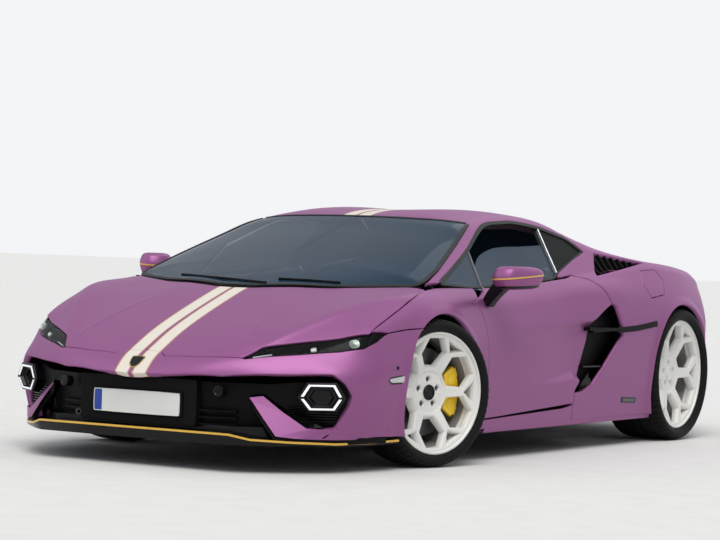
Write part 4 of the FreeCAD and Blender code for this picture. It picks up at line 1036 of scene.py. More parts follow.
HUB_STEEL = Finish("hub_steel", (0.05, 0.05, 0.052), metallic=0.7, roughness=0.35, bump=0.02,
                   mottle=0.2)
TAIL_RED = Finish("tail_red", (0.36, 0.008, 0.008), roughness=0.12, coat=0.7, emission=0.05,
                  bump=0.0)
STEEL = Finish("frame_metal", (0.20, 0.20, 0.21), metallic=0.9, roughness=0.45, bump=0.03,
               mottle=0.2)
EXHAUST = Finish("exhaust_metal", (0.32, 0.30, 0.28), metallic=1.0, roughness=0.28, bump=0.02,
                 mottle=0.25)
LEATHER = Finish("cabin_leather", (0.020, 0.019, 0.020), roughness=0.55, bump_scale=260, bump=0.12,
                 mottle=0.25, sheen=0.15)
# Darker copy of the violet paint for the mirrors' lower shell: painted shade on their undersides
PAINT_PAINTED_SHADE = Finish("violet_paint_low", (0.29, 0.085, 0.235), metallic=0.45, roughness=0.46,
                     coat=0.1, coat_roughness=0.3, bump_scale=1800, bump=0.006, mottle=0.05,
                     mottle_scale=900, tint=(1.0, 0.75, 0.95))
WHEEL_INSIDE = Finish("wheel_inside", (0.30, 0.29, 0.28), metallic=0.1, roughness=0.5, bump=0.01,
                      mottle=0.1)
SEAM = Finish("seat_piping", (0.25, 0.08, 0.22), roughness=0.5, bump_scale=900, bump=0.1,
              mottle=0.2)
MIRROR_GLASS = Finish("mirror_silver", (0.75, 0.77, 0.80), metallic=1.0, roughness=0.03, bump=0.0)
PLATE_BLUE = Finish("plate_band_blue", (0.010, 0.045, 0.30), roughness=0.35, bump=0.01, mottle=0.06)
BRASS = Finish("shield_brass", (0.45, 0.33, 0.12), metallic=0.9, roughness=0.3, bump=0.01)
PLATE = Finish("plate_white", (0.72, 0.72, 0.70), roughness=0.35, bump=0.01, mottle=0.06)
YELLOW = Finish("line_gold", GOLD, roughness=0.32, coat=0.3, bump=0.01)
SILVER = Finish("marker_silver", (0.55, 0.56, 0.58), metallic=0.7, roughness=0.25, coat=0.4,
                bump=0.0)


GroupParts = tuple[bpy.types.NodeTree, bpy.types.Node, bpy.types.Node]


def node_group(name: str, inputs: Sequence[tuple[str, str, object]],
               outputs: Sequence[tuple[str, str]]) -> GroupParts:
    """Empty shader group with its sockets.

    Args:
        name: Name of the group.
        inputs: Name, socket type and default of each input.
        outputs: Name and socket type of each output.

    Returns:
        The group, its input node and its output node.
    """
    group = bpy.data.node_groups.new(name, "ShaderNodeTree")
    for label, kind, default in inputs:
        socket = group.interface.new_socket(name=label, in_out="INPUT", socket_type=kind)
        if default is not None:
            socket.default_value = default
    for label, kind in outputs:
        group.interface.new_socket(name=label, in_out="OUTPUT", socket_type=kind)
    return group, group.nodes.new("NodeGroupInput"), group.nodes.new("NodeGroupOutput")


def math_node(tree: bpy.types.NodeTree, operation: str, *values: object,
              clamp: bool = False) -> bpy.types.NodeSocket:
    """Math node fed by sockets or numbers."""
    node = tree.nodes.new("ShaderNodeMath")
    node.operation = operation
    node.use_clamp = clamp
    for socket, value in zip(node.inputs, values):
        if isinstance(value, (int, float)):
            socket.default_value = value
        else:
            tree.links.new(value, socket)
    return node.outputs[0]


def put(node: bpy.types.Node, values: dict[str, object]) -> None:
    """Sets a node's inputs by their names."""
    for name, value in values.items():
        node.inputs[name].default_value = value


def surface_group() -> bpy.types.NodeTree:
    """Group for fine bump, uneven roughness and uneven tone, used by every finish."""
    inputs = (("Scale", "NodeSocketFloat", 400.0), ("Bump", "NodeSocketFloat", 0.02),
              ("Mottle", "NodeSocketFloat", 0.06), ("Mottle Scale", "NodeSocketFloat", 6.0),
              ("Roughness", "NodeSocketFloat", 0.5),
              ("Color", "NodeSocketColor", (0.5, 0.5, 0.5, 1)))
    outputs = (("Color", "NodeSocketColor"), ("Roughness", "NodeSocketFloat"),
               ("Normal", "NodeSocketVector"))
    group, enter, leave = node_group("surface_grain", inputs, outputs)
    place = group.nodes.new("ShaderNodeTexCoord")
    fine = group.nodes.new("ShaderNodeTexNoise")
    broad = group.nodes.new("ShaderNodeTexNoise")
    fine.inputs["Detail"].default_value = 3
    broad.inputs["Detail"].default_value = 4
    link = group.links.new
    link(place.outputs["Object"], fine.inputs["Vector"])
    link(place.outputs["Object"], broad.inputs["Vector"])
    link(enter.outputs["Scale"], fine.inputs["Scale"])
    link(enter.outputs["Mottle Scale"], broad.inputs["Scale"])
    swing = math_node(group, "SUBTRACT", broad.outputs["Fac"], 0.5)
    amount = math_node(group, "MULTIPLY", swing, enter.outputs["Mottle"])
    tone = math_node(group, "ADD", math_node(group, "MULTIPLY", amount, 2.0), 1.0)
    scaled = group.nodes.new("ShaderNodeVectorMath")
    scaled.operation = "SCALE"
    link(enter.outputs["Color"], scaled.inputs[0])
    link(tone, scaled.inputs["Scale"])
    rough = math_node(group, "ADD", enter.outputs["Roughness"],
                      math_node(group, "MULTIPLY", amount, 0.5), clamp=True)
    bump = group.nodes.new("ShaderNodeBump")
    bump.inputs["Distance"].default_value = 0.002
    link(enter.outputs["Bump"], bump.inputs["Strength"])
    link(fine.outputs["Fac"], bump.inputs["Height"])
    link(scaled.outputs[0], leave.inputs["Color"])
    link(rough, leave.inputs["Roughness"])
    link(bump.outputs["Normal"], leave.inputs["Normal"])
    return group


def stripe_group() -> bpy.types.NodeTree:
    """Group that masks the twin stripes and their gold edges from the place on the body."""
    group, _, leave = node_group("twin_stripes", (), (("Stripe", "NodeSocketFloat"),
                                                      ("Gold", "NodeSocketFloat")))
    place = group.nodes.new("ShaderNodeTexCoord")
    split = group.nodes.new("ShaderNodeSeparateXYZ")
    group.links.new(place.outputs["Object"], split.inputs[0])
    x = math_node(group, "ABSOLUTE", split.outputs["X"])
    spread = group.nodes.new("ShaderNodeMapRange")
    put(spread, {"From Min": STRIPE_NOSE_Y, "From Max": STRIPE_COWL_Y, "To Min": STRIPE_NOSE_GAP,
                 "To Max": STRIPE_COWL_GAP})
    group.links.new(split.outputs["Y"], spread.inputs["Value"])
    gap = spread.outputs["Result"]
    outer = math_node(group, "ADD", gap, STRIPE_WIDTH)

    def step(edge: object, rising: bool) -> bpy.types.NodeSocket:
        """Soft step of x at an edge."""
        ends = (x, edge) if rising else (edge, x)
        distance = math_node(group, "SUBTRACT", *ends)
        return math_node(group, "DIVIDE", distance, STRIPE_SOFT, clamp=True)

    stripe = math_node(group, "MULTIPLY", step(gap, True), step(outer, False))
    rim = math_node(group, "ADD", outer, GOLD_FAR)
    start = math_node(group, "ADD", outer, GOLD_NEAR)
    gold_out = math_node(group, "MULTIPLY", step(start, True), step(rim, False))
    gap_in = math_node(group, "SUBTRACT", gap, GOLD_INNER_FAR)
    gap_rim = math_node(group, "SUBTRACT", gap, GOLD_NEAR)
    gold_in = math_node(group, "MULTIPLY", step(gap_in, True), step(gap_rim, False))
    group.links.new(stripe, leave.inputs["Stripe"])
    group.links.new(math_node(group, "MAXIMUM", gold_out, gold_in), leave.inputs["Gold"])
    return group


class Palette:
    """Every material of the car, made once and shared."""

    def __init__(self) -> None:
        """Both shader groups, and no material yet."""
        self.grain = surface_group()
        self.stripes = stripe_group()
        self.made: dict[str, bpy.types.Material] = {}

    def of(self, finish: Finish, striped: bool = False) -> bpy.types.Material:
        """The material of a finish.

        Args:
            finish: The finish.
            striped: Whether the twin stripes run over it.

        Returns:
            The material.
        """
        key = finish.name + ("_striped" if striped else "")
        if key in self.made:
            return self.made[key]
        material = bpy.data.materials.new(key)
        material.use_nodes = True
        tree = material.node_tree
        shader = tree.nodes["Principled BSDF"]
        grain = tree.nodes.new("ShaderNodeGroup")
        grain.node_tree = self.grain
        link = tree.links.new
        put(grain, {"Scale": finish.bump_scale, "Bump": finish.bump, "Mottle": finish.mottle,
                    "Mottle Scale": finish.mottle_scale, "Roughness": finish.roughness,
                    "Color": (*finish.colour, 1)})
        put(shader, {"Metallic": finish.metallic, "Coat Weight": finish.coat,
                     "Coat Roughness": finish.coat_roughness, "IOR": finish.ior,
                     "Specular Tint": (*finish.tint, 1), "Specular IOR Level": finish.specular,
                     "Sheen Weight": finish.sheen})
        colour, rough = grain.outputs["Color"], grain.outputs["Roughness"]
        if striped:
            masks = tree.nodes.new("ShaderNodeGroup")
            masks.node_tree = self.stripes
            for mask, tone in (("Stripe", STRIPE), ("Gold", GOLD)):
                mix = tree.nodes.new("ShaderNodeMix")
                mix.data_type = "RGBA"
                link(masks.outputs[mask], mix.inputs["Factor"])
                link(colour, mix.inputs["A"])
                mix.inputs["B"].default_value = (*tone, 1)
                colour = mix.outputs["Result"]
            plain = math_node(tree, "SUBTRACT", 1.0, math_node(tree, "MAXIMUM",
                                                               masks.outputs["Stripe"],
                                                               masks.outputs["Gold"]))
            link(math_node(tree, "MULTIPLY", plain, finish.metallic), shader.inputs["Metallic"])
        link(colour, shader.inputs["Base Color"])
        link(rough, shader.inputs["Roughness"])
        if finish.bump:
            link(grain.outputs["Normal"], shader.inputs["Normal"])
        if finish.emission:
            link(colour, shader.inputs["Emission Color"])
            shader.inputs["Emission Strength"].default_value = finish.emission
        self.made[key] = material
        return material

    def see_through(self, finish: Finish, alpha: float) -> bpy.types.Material:
        """See-through copy of a finish, for the glass and lenses of thin shells, that lets what is behind
        it show.
        """
        key = finish.name + "_clear"
        if key not in self.made:
            material = self.of(finish).copy()
            material.name = key
            material.node_tree.nodes["Principled BSDF"].inputs["Alpha"].default_value = alpha
            self.made[key] = material
        return self.made[key]


# Building pieces

Section = Sequence[tuple[float, float]]
Frame = tuple[Vector, Vector, Vector]
Builder = Callable[[bmesh.types.BMesh], None]
BEVEL_STEPS = 2
BEVEL_ANGLE = math.radians(30)


def add_mesh(name: str, sheet: Sheet, material: bpy.types.Material) -> bpy.types.Object:
    """Object from a sheet, with its own normals."""
    mesh = bpy.data.meshes.new(name)
    mesh.from_pydata([tuple(p) for p in sheet.points], [], sheet.faces)
    mesh.polygons.foreach_set("use_smooth", [True] * len(mesh.polygons))
    mesh.normals_split_custom_set_from_vertices([tuple(n) for n in sheet.normals])
    mesh.materials.append(material)
    obj = bpy.data.objects.new(name, mesh)
    bpy.context.scene.collection.objects.link(obj)
    return obj


def solid(name: str, build: Builder, material: bpy.types.Material,
          bevel: float = 0.0, angle: float = 35.0, both_sides: bool = False,
          rounded: int = 0) -> bpy.types.Object:
    """Object from bmesh code, smooth but for its sharp edges.

    Args:
        name: Name of the object.
        build: Makes the mesh.
        material: Its finish.
        bevel: Width of the bevel on its edges.
        angle: Angle in degrees above which an edge is sharp.
        both_sides: Whether its mirror image on the car's other side is added.
        rounded: Levels of subdivision.

    Returns:
        The object.
    """
    bm = bmesh.new()
    build(bm)
    if both_sides:
        parts = bm.verts[:] + bm.edges[:] + bm.faces[:]
        made = bmesh.ops.duplicate(bm, geom=parts)["geom"]
        for vert in made:
            if isinstance(vert, bmesh.types.BMVert):
                vert.co.x = -vert.co.x
    bmesh.ops.recalc_face_normals(bm, faces=bm.faces)
    mesh = bpy.data.meshes.new(name)
    bm.to_mesh(mesh)
    bm.free()
    mesh.polygons.foreach_set("use_smooth", [True] * len(mesh.polygons))
    mesh.set_sharp_from_angle(angle=math.radians(angle))
    mesh.materials.append(material)
    obj = bpy.data.objects.new(name, mesh)
    bpy.context.scene.collection.objects.link(obj)
    if bevel:
        modifier = obj.modifiers.new("edges", "BEVEL")
        modifier.width = bevel
        modifier.segments = BEVEL_STEPS
        modifier.limit_method = "ANGLE"
        modifier.angle_limit = BEVEL_ANGLE
    if rounded:
        modifier = obj.modifiers.new("rounding", "SUBSURF")
        modifier.levels = rounded
        modifier.render_levels = rounded
    return obj


def loft(bm: bmesh.types.BMesh, rings: Sequence[Sequence[Point]], looped: bool = False) -> None:
    """Skins a row of rings with equal numbers of points, closed by caps or on itself."""
    rows = [[bm.verts.new(p) for p in ring] for ring in rings]
    pairs = list(zip(rows, rows[1:])) + ([(rows[-1], rows[0])] if looped else [])
    count = len(rows[0])
    for a, b in pairs:
        for i in range(count):
            j = (i + 1) % count
            bm.faces.new((a[i], a[j], b[j], b[i]))
    if not looped:
        bm.faces.new(rows[0])
        bm.faces.new(list(reversed(rows[-1])))


def sweep(bm: bmesh.types.BMesh, frames: Sequence[Frame], section: Section) -> None:
    """Carries a closed section along frames of place, sideways and outward."""
    loft(bm, [[place + side * s + out * t for s, t in section] for place, side, out in frames])


def frames_on(skin: Skin, line: Sequence[Vector], spacing: float = 0.02,
              lower: float = 0.0) -> list[Frame]:
    """Frames along a line that lies on a skin.

    Args:
        skin: The surface.
        line: Places of the line.
        spacing: Distance between frames.
        lower: Distance below the surface.

    Returns:
        Place, sideways and outward at each frame.
    """
    places = []
    for a, b in zip(line, line[1:]):
        count = max(1, int(round((b - a).length / spacing)))
        places += [a.lerp(b, i / count) for i in range(count)]
    places.append(line[-1])
    for _ in range(2):
        kept = places[:]
        for i in range(1, len(places) - 1):
            places[i] = kept[i - 1] * 0.25 + kept[i] * 0.5 + kept[i + 1] * 0.25
    out = []
    for i, place in enumerate(places):
        before, after = places[max(i - 1, 0)], places[min(i + 1, len(places) - 1)]
        near, _, index, _ = skin.tree.find_nearest(place)
        normal = skin.normal_at(near, index)
        side = (after - before).cross(normal).normalized()
        out.append((near - normal * lower, side, normal))
    return out


def trim_section(width: float, height: float, sunk: float = 0.002,
                 chamfer: float = 0.0012) -> Section:
    """Section of a flat trim strip with chamfered edges."""
    half = width / 2
    return ((-half, -sunk), (-half, height - chamfer), (-half + chamfer, height),
            (half - chamfer, height), (half, height - chamfer), (half, -sunk))


def turned(bm: bmesh.types.BMesh, matrix: Matrix, profile: Section, steps: int, looped: bool = True,
           change: Optional[Callable[[int, float, float], float]] = None) -> None:
    """Surface of revolution about the local X axis.

    Args:
        bm: Mesh to add to.
        matrix: Local axes to the car's.
        profile: Place along the axis and radius of each point.
        steps: Number of steps round.
        looped: Whether the profile closes on itself; otherwise its ends lie on the axis.
        change: Addition to the radius from the step, the place along the axis and the radius.
    """
    rows = []
    for k in range(steps):
        angle = 2 * math.pi * k / steps
        row = []
        for a, r in profile:
            r += change(k, a, r) if change else 0.0
            row.append(bm.verts.new(matrix @ Vector((a, r * math.cos(angle), r * math.sin(angle)))))
        rows.append(row)
    count = len(profile)
    for k in range(steps):
        a, b = rows[k], rows[(k + 1) % steps]
        for i in range(count if looped else count - 1):
            j = (i + 1) % count
            bm.faces.new((a[i], a[j], b[j], b[i]))
    if not looped:
        bmesh.ops.remove_doubles(bm, verts=bm.verts, dist=1e-6)


def polar(pairs: Section, angle: float) -> np.ndarray:
    """Outline given as distance and offset along a radius, turned to that angle in degrees."""
    c, s = math.cos(math.radians(angle)), math.sin(math.radians(angle))
    return np.array([(r * c - t * s, r * s + t * c) for r, t in pairs])


def turns(steps: int, start: float = 0.0) -> list[float]:
    """Angles of equal steps round a circle, from a start given in steps."""
    return [2 * math.pi * (k + start) / steps for k in range(steps)]


def spots(table: Iterable[Sequence[float]]) -> list[Vector]:
    """Places from rows of x, offset from the front axle and z, in millimetres."""
    return [Vector((x * MM, front(y) * MM, z * MM)) for x, y, z in table]


def disc_line(radius: float, steps: int, centre: tuple[float, float] = (0.0, 0.0)) -> np.ndarray:
    """Circle as an outline."""
    return np.array([(centre[0] + radius * math.cos(t), centre[1] + radius * math.sin(t))
                     for t in turns(steps)])


def placed(sheet: Sheet, matrix: Matrix) -> Sheet:
    """A sheet in the car's axes."""
    turn = np.array(matrix.to_3x3())
    shift = np.array(matrix.translation)
    return Sheet(sheet.points @ turn.T + shift, sheet.normals @ turn.T, sheet.faces)


def around(points: Sequence[Vector], scale: float, push: Vector) -> list[Vector]:
    """A ring drawn in about its middle and moved."""
    middle = sum(points, Vector()) / len(points)
    return [middle + (p - middle) * scale + push for p in points]


def rounded_line(points: Sequence[tuple[float, float]],
                 passes: int = 2) -> list[tuple[float, float]]:
    """Closed outline with its corners cut again and again until round."""
    for _ in range(passes):
        cut = []
        for a, b in zip(points, list(points[1:]) + [points[0]]):
            cut.append((a[0] * 0.75 + b[0] * 0.25, a[1] * 0.75 + b[1] * 0.25))
            cut.append((a[0] * 0.25 + b[0] * 0.75, a[1] * 0.25 + b[1] * 0.75))
        points = cut
    return list(points)


@dataclass
class Assembly:
    """A part of the car whose pieces are made together."""
    palette: Palette
    pieces: list = field(default_factory=list, kw_only=True)

    def add(self, obj: bpy.types.Object, body: str, slot: str,
            nodes: Iterable[str] = ()) -> bpy.types.Object:
        """Makes a piece ride and lets it stand for its nodes.

        Args:
            obj: The piece.
            body: Body that it moves with.
            slot: Not used.
            nodes: CAD nodes that it stands for.

        Returns:
            The piece.
        """
        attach(obj, body)
        nodes = list(nodes)
        if nodes:
            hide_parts(*nodes)
        self.pieces.append(obj)
        return obj

    def form(self, name: str, build: Builder, finish: Finish, slot: str = "black_trim",
             body: str = "root", nodes: Iterable[str] = (), **shape: object) -> None:
        """Adds a piece made by bmesh code; shape holds what solid takes."""
        self.add(solid(name, build, self.palette.of(finish), **shape), body, slot, nodes)

    def cover(self, name: str, sheet: Sheet, material: bpy.types.Material, slot: str = "body_paint",
              body: str = "root", nodes: Iterable[str] = ()) -> None:
        """Adds a piece made from a sheet."""
        self.add(add_mesh(name, sheet, material), body, slot, nodes)


@dataclass
class Body(Assembly):
    """The painted shell and its lids."""
    panel_depth: float = 0.022
    skirt_depth: float = 0.03

    def build(self) -> None:
        """Makes every panel."""
        self.paint = self.palette.of(PAINT)
        self.striped = self.palette.of(PAINT, striped=True)
        self.hood()
        self.bumper()
        self.sides()
        self.top()
        self.linings()
        self.tail()

    def hood(self) -> None:
        """The front lid."""
        sheet = panel(NOSE, hood_outline(), (0, -0.3, 0.95), relief=hood_relief,
                      spacing=0.011).whole()
        self.cover("front_lid_panel", sheet, self.striped, body="front_lid", nodes=["front_lid"])

    def bumper(self) -> None:
        """The nose below the lid."""
        sheet = panel(NOSE, bumper_outline(), (0.55, -0.6, 0.58), depth=self.skirt_depth,
                      relief=nose_relief).whole()
        self.cover("front_bumper_panel", sheet, self.striped, nodes=["front_bumper"])

    def sides(self) -> None:
        """Fenders, doors, sills and quarters."""
        fender = panel(NOSE, fender_outline(), (0.7, 0, 0.7), depth=self.panel_depth,
                       relief=fender_relief)
        self.cover("front_fender_panels", fender.pair(), self.paint, nodes=["front_fenders"])
        door = panel(CABIN, door_outline(), (0.7, 0, 0.7), depth=self.skirt_depth, relief=pocket,
                     spacing=0.011)
        for side, sheet in (("left", door), ("right", door.mirrored())):
            self.cover("door_panel_" + side, sheet, self.paint, body="door_" + side,
                       nodes=["door_" + side])
        sill = panel(CABIN, sill_outline(), (1, 0, 0.05), depth=0.02)
        self.cover("sill_panels", sill.pair(), self.paint, nodes=["sills"])
        intake = CABIN.sides(UPPER_INTAKE)
        flap = CABIN.sides(FLAP)
        for side, holes, nodes in (("left", [intake, flap], ["quarter_left"]),
                                   ("right", [intake], ["quarter_right"])):
            sheet = panel(CABIN, quarter_outline(), (0.7, 0, 0.6), depth=self.panel_depth,
                          relief=quarter_relief, holes=holes, spacing=0.014, edge=0.0035, gap=0.001)
            sheet = sheet if side == "left" else sheet.mirrored()
            self.cover("quarter_panel_" + side, sheet, self.paint, nodes=nodes)
        cap = panel(CABIN, flap, (0.7, 0, 0.7), depth=0.008, gap=0.0035)
        self.cover("fuel_flap_panel", cap, self.paint, body="fuel_flap", nodes=["fuel_flap"])

    def top(self) -> None:
        """Roof and engine cover."""
        roof = panel(CABIN, roof_outline(), (0.5, 0, 0.87), depth=0.02).whole()
        self.cover("roof_panel", roof, self.striped, nodes=["roof"])
        cover = panel(CABIN, cover_outline(), (0, 0.15, 1), depth=0.008).whole()
        self.cover("engine_cover_panel", cover, self.striped, body="engine_cover",
                   nodes=["engine_cover"])

    def linings(self) -> None:
        """Black linings between the arches' edges and the liners behind them."""
        def lining(bm: bmesh.types.BMesh) -> None:
            """Both linings of the left side."""
            for axle, radius, start, end, inner in ((FRONT_AXLE, FRONT_ARCH_R, -25, 208, 0.80),
                                                    (REAR_AXLE, REAR_ARCH_R, -20, 197, 0.62)):
                rows = []
                for p in arc(axle, radius, start, end, 50):
                    away = Vector((0, p.y - axle.y, p.z - axle.z)).normalized()
                    hidden = Vector((inner, p.y, p.z))
                    edge = Vector((p.x - 0.009, p.y, p.z))
                    rows.append([edge + away * 0.001, edge + away * 0.005, hidden + away * 0.005,
                                 hidden + away * 0.001])
                loft(bm, rows)

        self.form("arch_linings", lining, MATTE_BLACK, both_sides=True, angle=40)

    def tail(self) -> None:
        """The tail's painted skin."""
        lamp = CABIN.faces(TAIL_LAMP, -1)
        tail = panel(CABIN, tail_outline(), (0.45, 0.75, 0.45), depth=0.025, holes=[lamp]).whole()
        self.cover("tail_panel", tail, self.striped, nodes=["rear_bumper"])


@dataclass
class Glazing(Assembly):
    """Windscreen, side glass, their seals and the pillars' trim."""
    seal_width: float = 0.024
    pillar_width: float = 0.007
    glass_alpha: float = 0.68

    def build(self) -> None:
        """Makes the glass and what frames it."""
        # The glass's blue is partly its tint and partly painted sky reflection
        glass = self.palette.see_through(GLASS, self.glass_alpha)
        screen = panel(SCREEN, screen_outline(), (0, -0.4, 0.9), depth=0.006, spacing=0.03,
                       lower=0.003).whole()
        self.cover("windscreen_glass", screen, glass, "tinted_glass", nodes=["windscreen"])
        for side, line in (("left", LOWERED), ("right", WINDOW)):
            outline = curved(CABIN.sides(line[1:6]))
            outline = [CABIN.side(*line[0])] + outline + CABIN.sides(line[6:])
            pane = panel(CABIN, outline, (0.7, 0, 0.7), depth=0.005, spacing=0.025, lower=0.012)
            pane = pane if side == "left" else pane.mirrored()
            self.cover("window_" + side, pane, glass, "tinted_glass", "door_" + side,
                       nodes=["door_glass_" + side])
        sail = panel(CABIN, CABIN.sides(PANE), (0.7, 0, 0.7), depth=0.005, spacing=0.025,
                     lower=0.006)
        back = panel(CABIN, CABIN.sides(REAR_PANE), (0.7, 0, 0.7), depth=0.005, spacing=0.025,
                     lower=0.006)
        self.cover("sail_panes", sail.pair(), glass, "tinted_glass", nodes=["side_panes"])
        self.cover("rear_panes", back.pair(), self.palette.of(MATTE_BLACK), "tinted_glass")
        self.trims()

    def trims(self) -> None:
        """Seals round the openings, the pillar's line and the screen's edge."""
        upper = curved(CABIN.sides(WINDOW_ARCH))
        lower = CABIN.sides(BELT_LINE)

        def seals(bm: bmesh.types.BMesh) -> None:
            """Both seals of the left side."""
            section = trim_section(self.seal_width, 0.004, 0.008)
            sweep(bm, frames_on(CABIN, upper, lower=0.004), section)
            sweep(bm, frames_on(CABIN, lower, lower=0.004), trim_section(0.014, 0.003, 0.008))

        self.form("window_seals", seals, RUBBER, both_sides=True)

        def sail_posts(bm: bmesh.types.BMesh) -> None:
            """The divider behind the sail pane."""
            line = CABIN.sides(((front(579), 815), (front(664), 1004)))
            sweep(bm, frames_on(CABIN, line, lower=0.006), trim_section(0.016, 0.004, 0.006))

        self.form("sail_dividers", sail_posts, TRIM_GREY, both_sides=True)

        def pillars(bm: bmesh.types.BMesh) -> None:
            """The bright line along the pillar behind the door glass."""
            line = CABIN.sides(((rear(-1150), 1128), (rear(-1185), 1030), (rear(-1228), 905)))
            section = trim_section(self.pillar_width, 0.004, 0.01)
            sweep(bm, frames_on(CABIN, line, lower=0.004), section)

        self.form("pillar_lines", pillars, SILVER, "frame_metal", both_sides=True)

        def backings(bm: bmesh.types.BMesh) -> None:
            """The dark posts behind the door glass."""
            line = CABIN.sides(((rear(-1148), 1122), (rear(-1180), 1020), (rear(-1222), 905)))
            sweep(bm, frames_on(CABIN, line, lower=0.016), trim_section(0.075, 0.002, 0.006))

        self.form("pillar_backings", backings, MATTE_BLACK, both_sides=True)

        def screen_edge(bm: bmesh.types.BMesh) -> None:
            """The black band round the windscreen."""
            edge = screen_outline()
            corner = len(SCREEN_FOOT)
            for line in (edge[:corner + 1], edge[corner:corner + 4], edge[corner + 4:]):
                frames = frames_on(SCREEN, curved(line), lower=0.002, spacing=0.03)
                sweep(bm, frames, trim_section(0.020, 0.002, 0.004))

        self.form("windscreen_seals", screen_edge, RUBBER, both_sides=True)


@dataclass
class Headlamps(Assembly):
    """Slim lamps under the lid's edge and the side markers."""
    housing_depth: float = 0.020
    projector_radius: float = 0.024
    lens_alpha: float = 0.30

    def build(self) -> None:
        """Makes both lamps and both markers."""
        outline = lamp_outline()
        well = panel(NOSE, outline, (0.35, -0.5, 0.8), depth=0.006, lower=self.housing_depth,
                     gap=-0.004, spacing=0.012)
        self.cover("headlamp_wells", well.pair(), self.palette.of(MATTE_BLACK), "lamp_glass",
                   nodes=["headlamps"])
        lens = panel(NOSE, outline, (0.35, -0.5, 0.8), depth=0.003, lower=0.005, gap=0.003,
                     spacing=0.014)
        self.cover("headlamp_lenses", lens.pair(), self.palette.see_through(LENS, self.lens_alpha),
                   "lamp_glass")
        self.form("headlamp_projectors", self.projectors, PROJECTOR, "lamp_glass", both_sides=True)
        self.form("headlamp_light_bars", self.light_bars, LAMP_WHITE, "lamp_glass", both_sides=True)
        self.form("headlamp_dividers", self.dividers, GLOSS_BLACK, both_sides=True)
        for name, line, finish, proud in (("marker_frames", MARKER, GLOSS_BLACK, -0.0012),
                                          ("marker_lenses", MARKER_LENS, SILVER, -0.0035)):
            sheet = panel(NOSE, NOSE.sides(line), (1, -0.1, 0.1), depth=0.006, gap=0, corner=0.004,
                          edge=0.0012, lower=proud, spacing=0.01)
            self.cover(name, sheet.pair(), self.palette.of(finish), "lamp_glass")

    def projectors(self, bm: bmesh.types.BMesh) -> None:
        """Round unit with a rim, and the small square unit inboard."""
        for (x, y), size, steps in (((871, front(-646)), self.projector_radius, 20),
                                    ((736, front(-766)), 0.012, 4)):
            place, normal = NOSE.hit(NOSE.plan(x, y), Vector((0, 0.3, -1)).normalized())
            out = (normal + Vector((0.1, -0.7, 0))).normalized()
            side = out.cross(UP).normalized()
            up = side.cross(out)
            base = place - normal * 0.016
            rings = []
            for scale, push in ((1.0, 0.0), (1.0, 0.010), (0.86, 0.011), (0.78, 0.006),
                                (0.35, 0.008)):
                rings.append([base + (side * math.cos(t) + up * math.sin(t) * 0.8) * size * scale
                              + out * push for t in turns(steps, 0.5)])
            loft(bm, rings)

    def light_bars(self, bm: bmesh.types.BMesh) -> None:
        """Thin daylight line low in the lamp's inner end."""
        line = NOSE.plans(((526, front(-940)), (560, front(-914)), (592, front(-889))))
        sweep(bm, frames_on(NOSE, line, lower=0.010), trim_section(0.0035, 0.003, 0.004, 0.001))
        line = NOSE.plans(((726, front(-780)), (744, front(-764))))
        sweep(bm, frames_on(NOSE, line, lower=0.010), trim_section(0.016, 0.003, 0.004, 0.001))

    def dividers(self, bm: bmesh.types.BMesh) -> None:
        """Ribs across the well between the units."""
        for x, lower_y, upper_y in ((690, -818, -800), (790, -738, -700), (915, -600, -540)):
            line = [NOSE.plan(x, front(lower_y)), NOSE.plan(x - 6, front(upper_y))]
            sweep(bm, frames_on(NOSE, line, lower=0.016), trim_section(0.006, 0.009, 0.004))


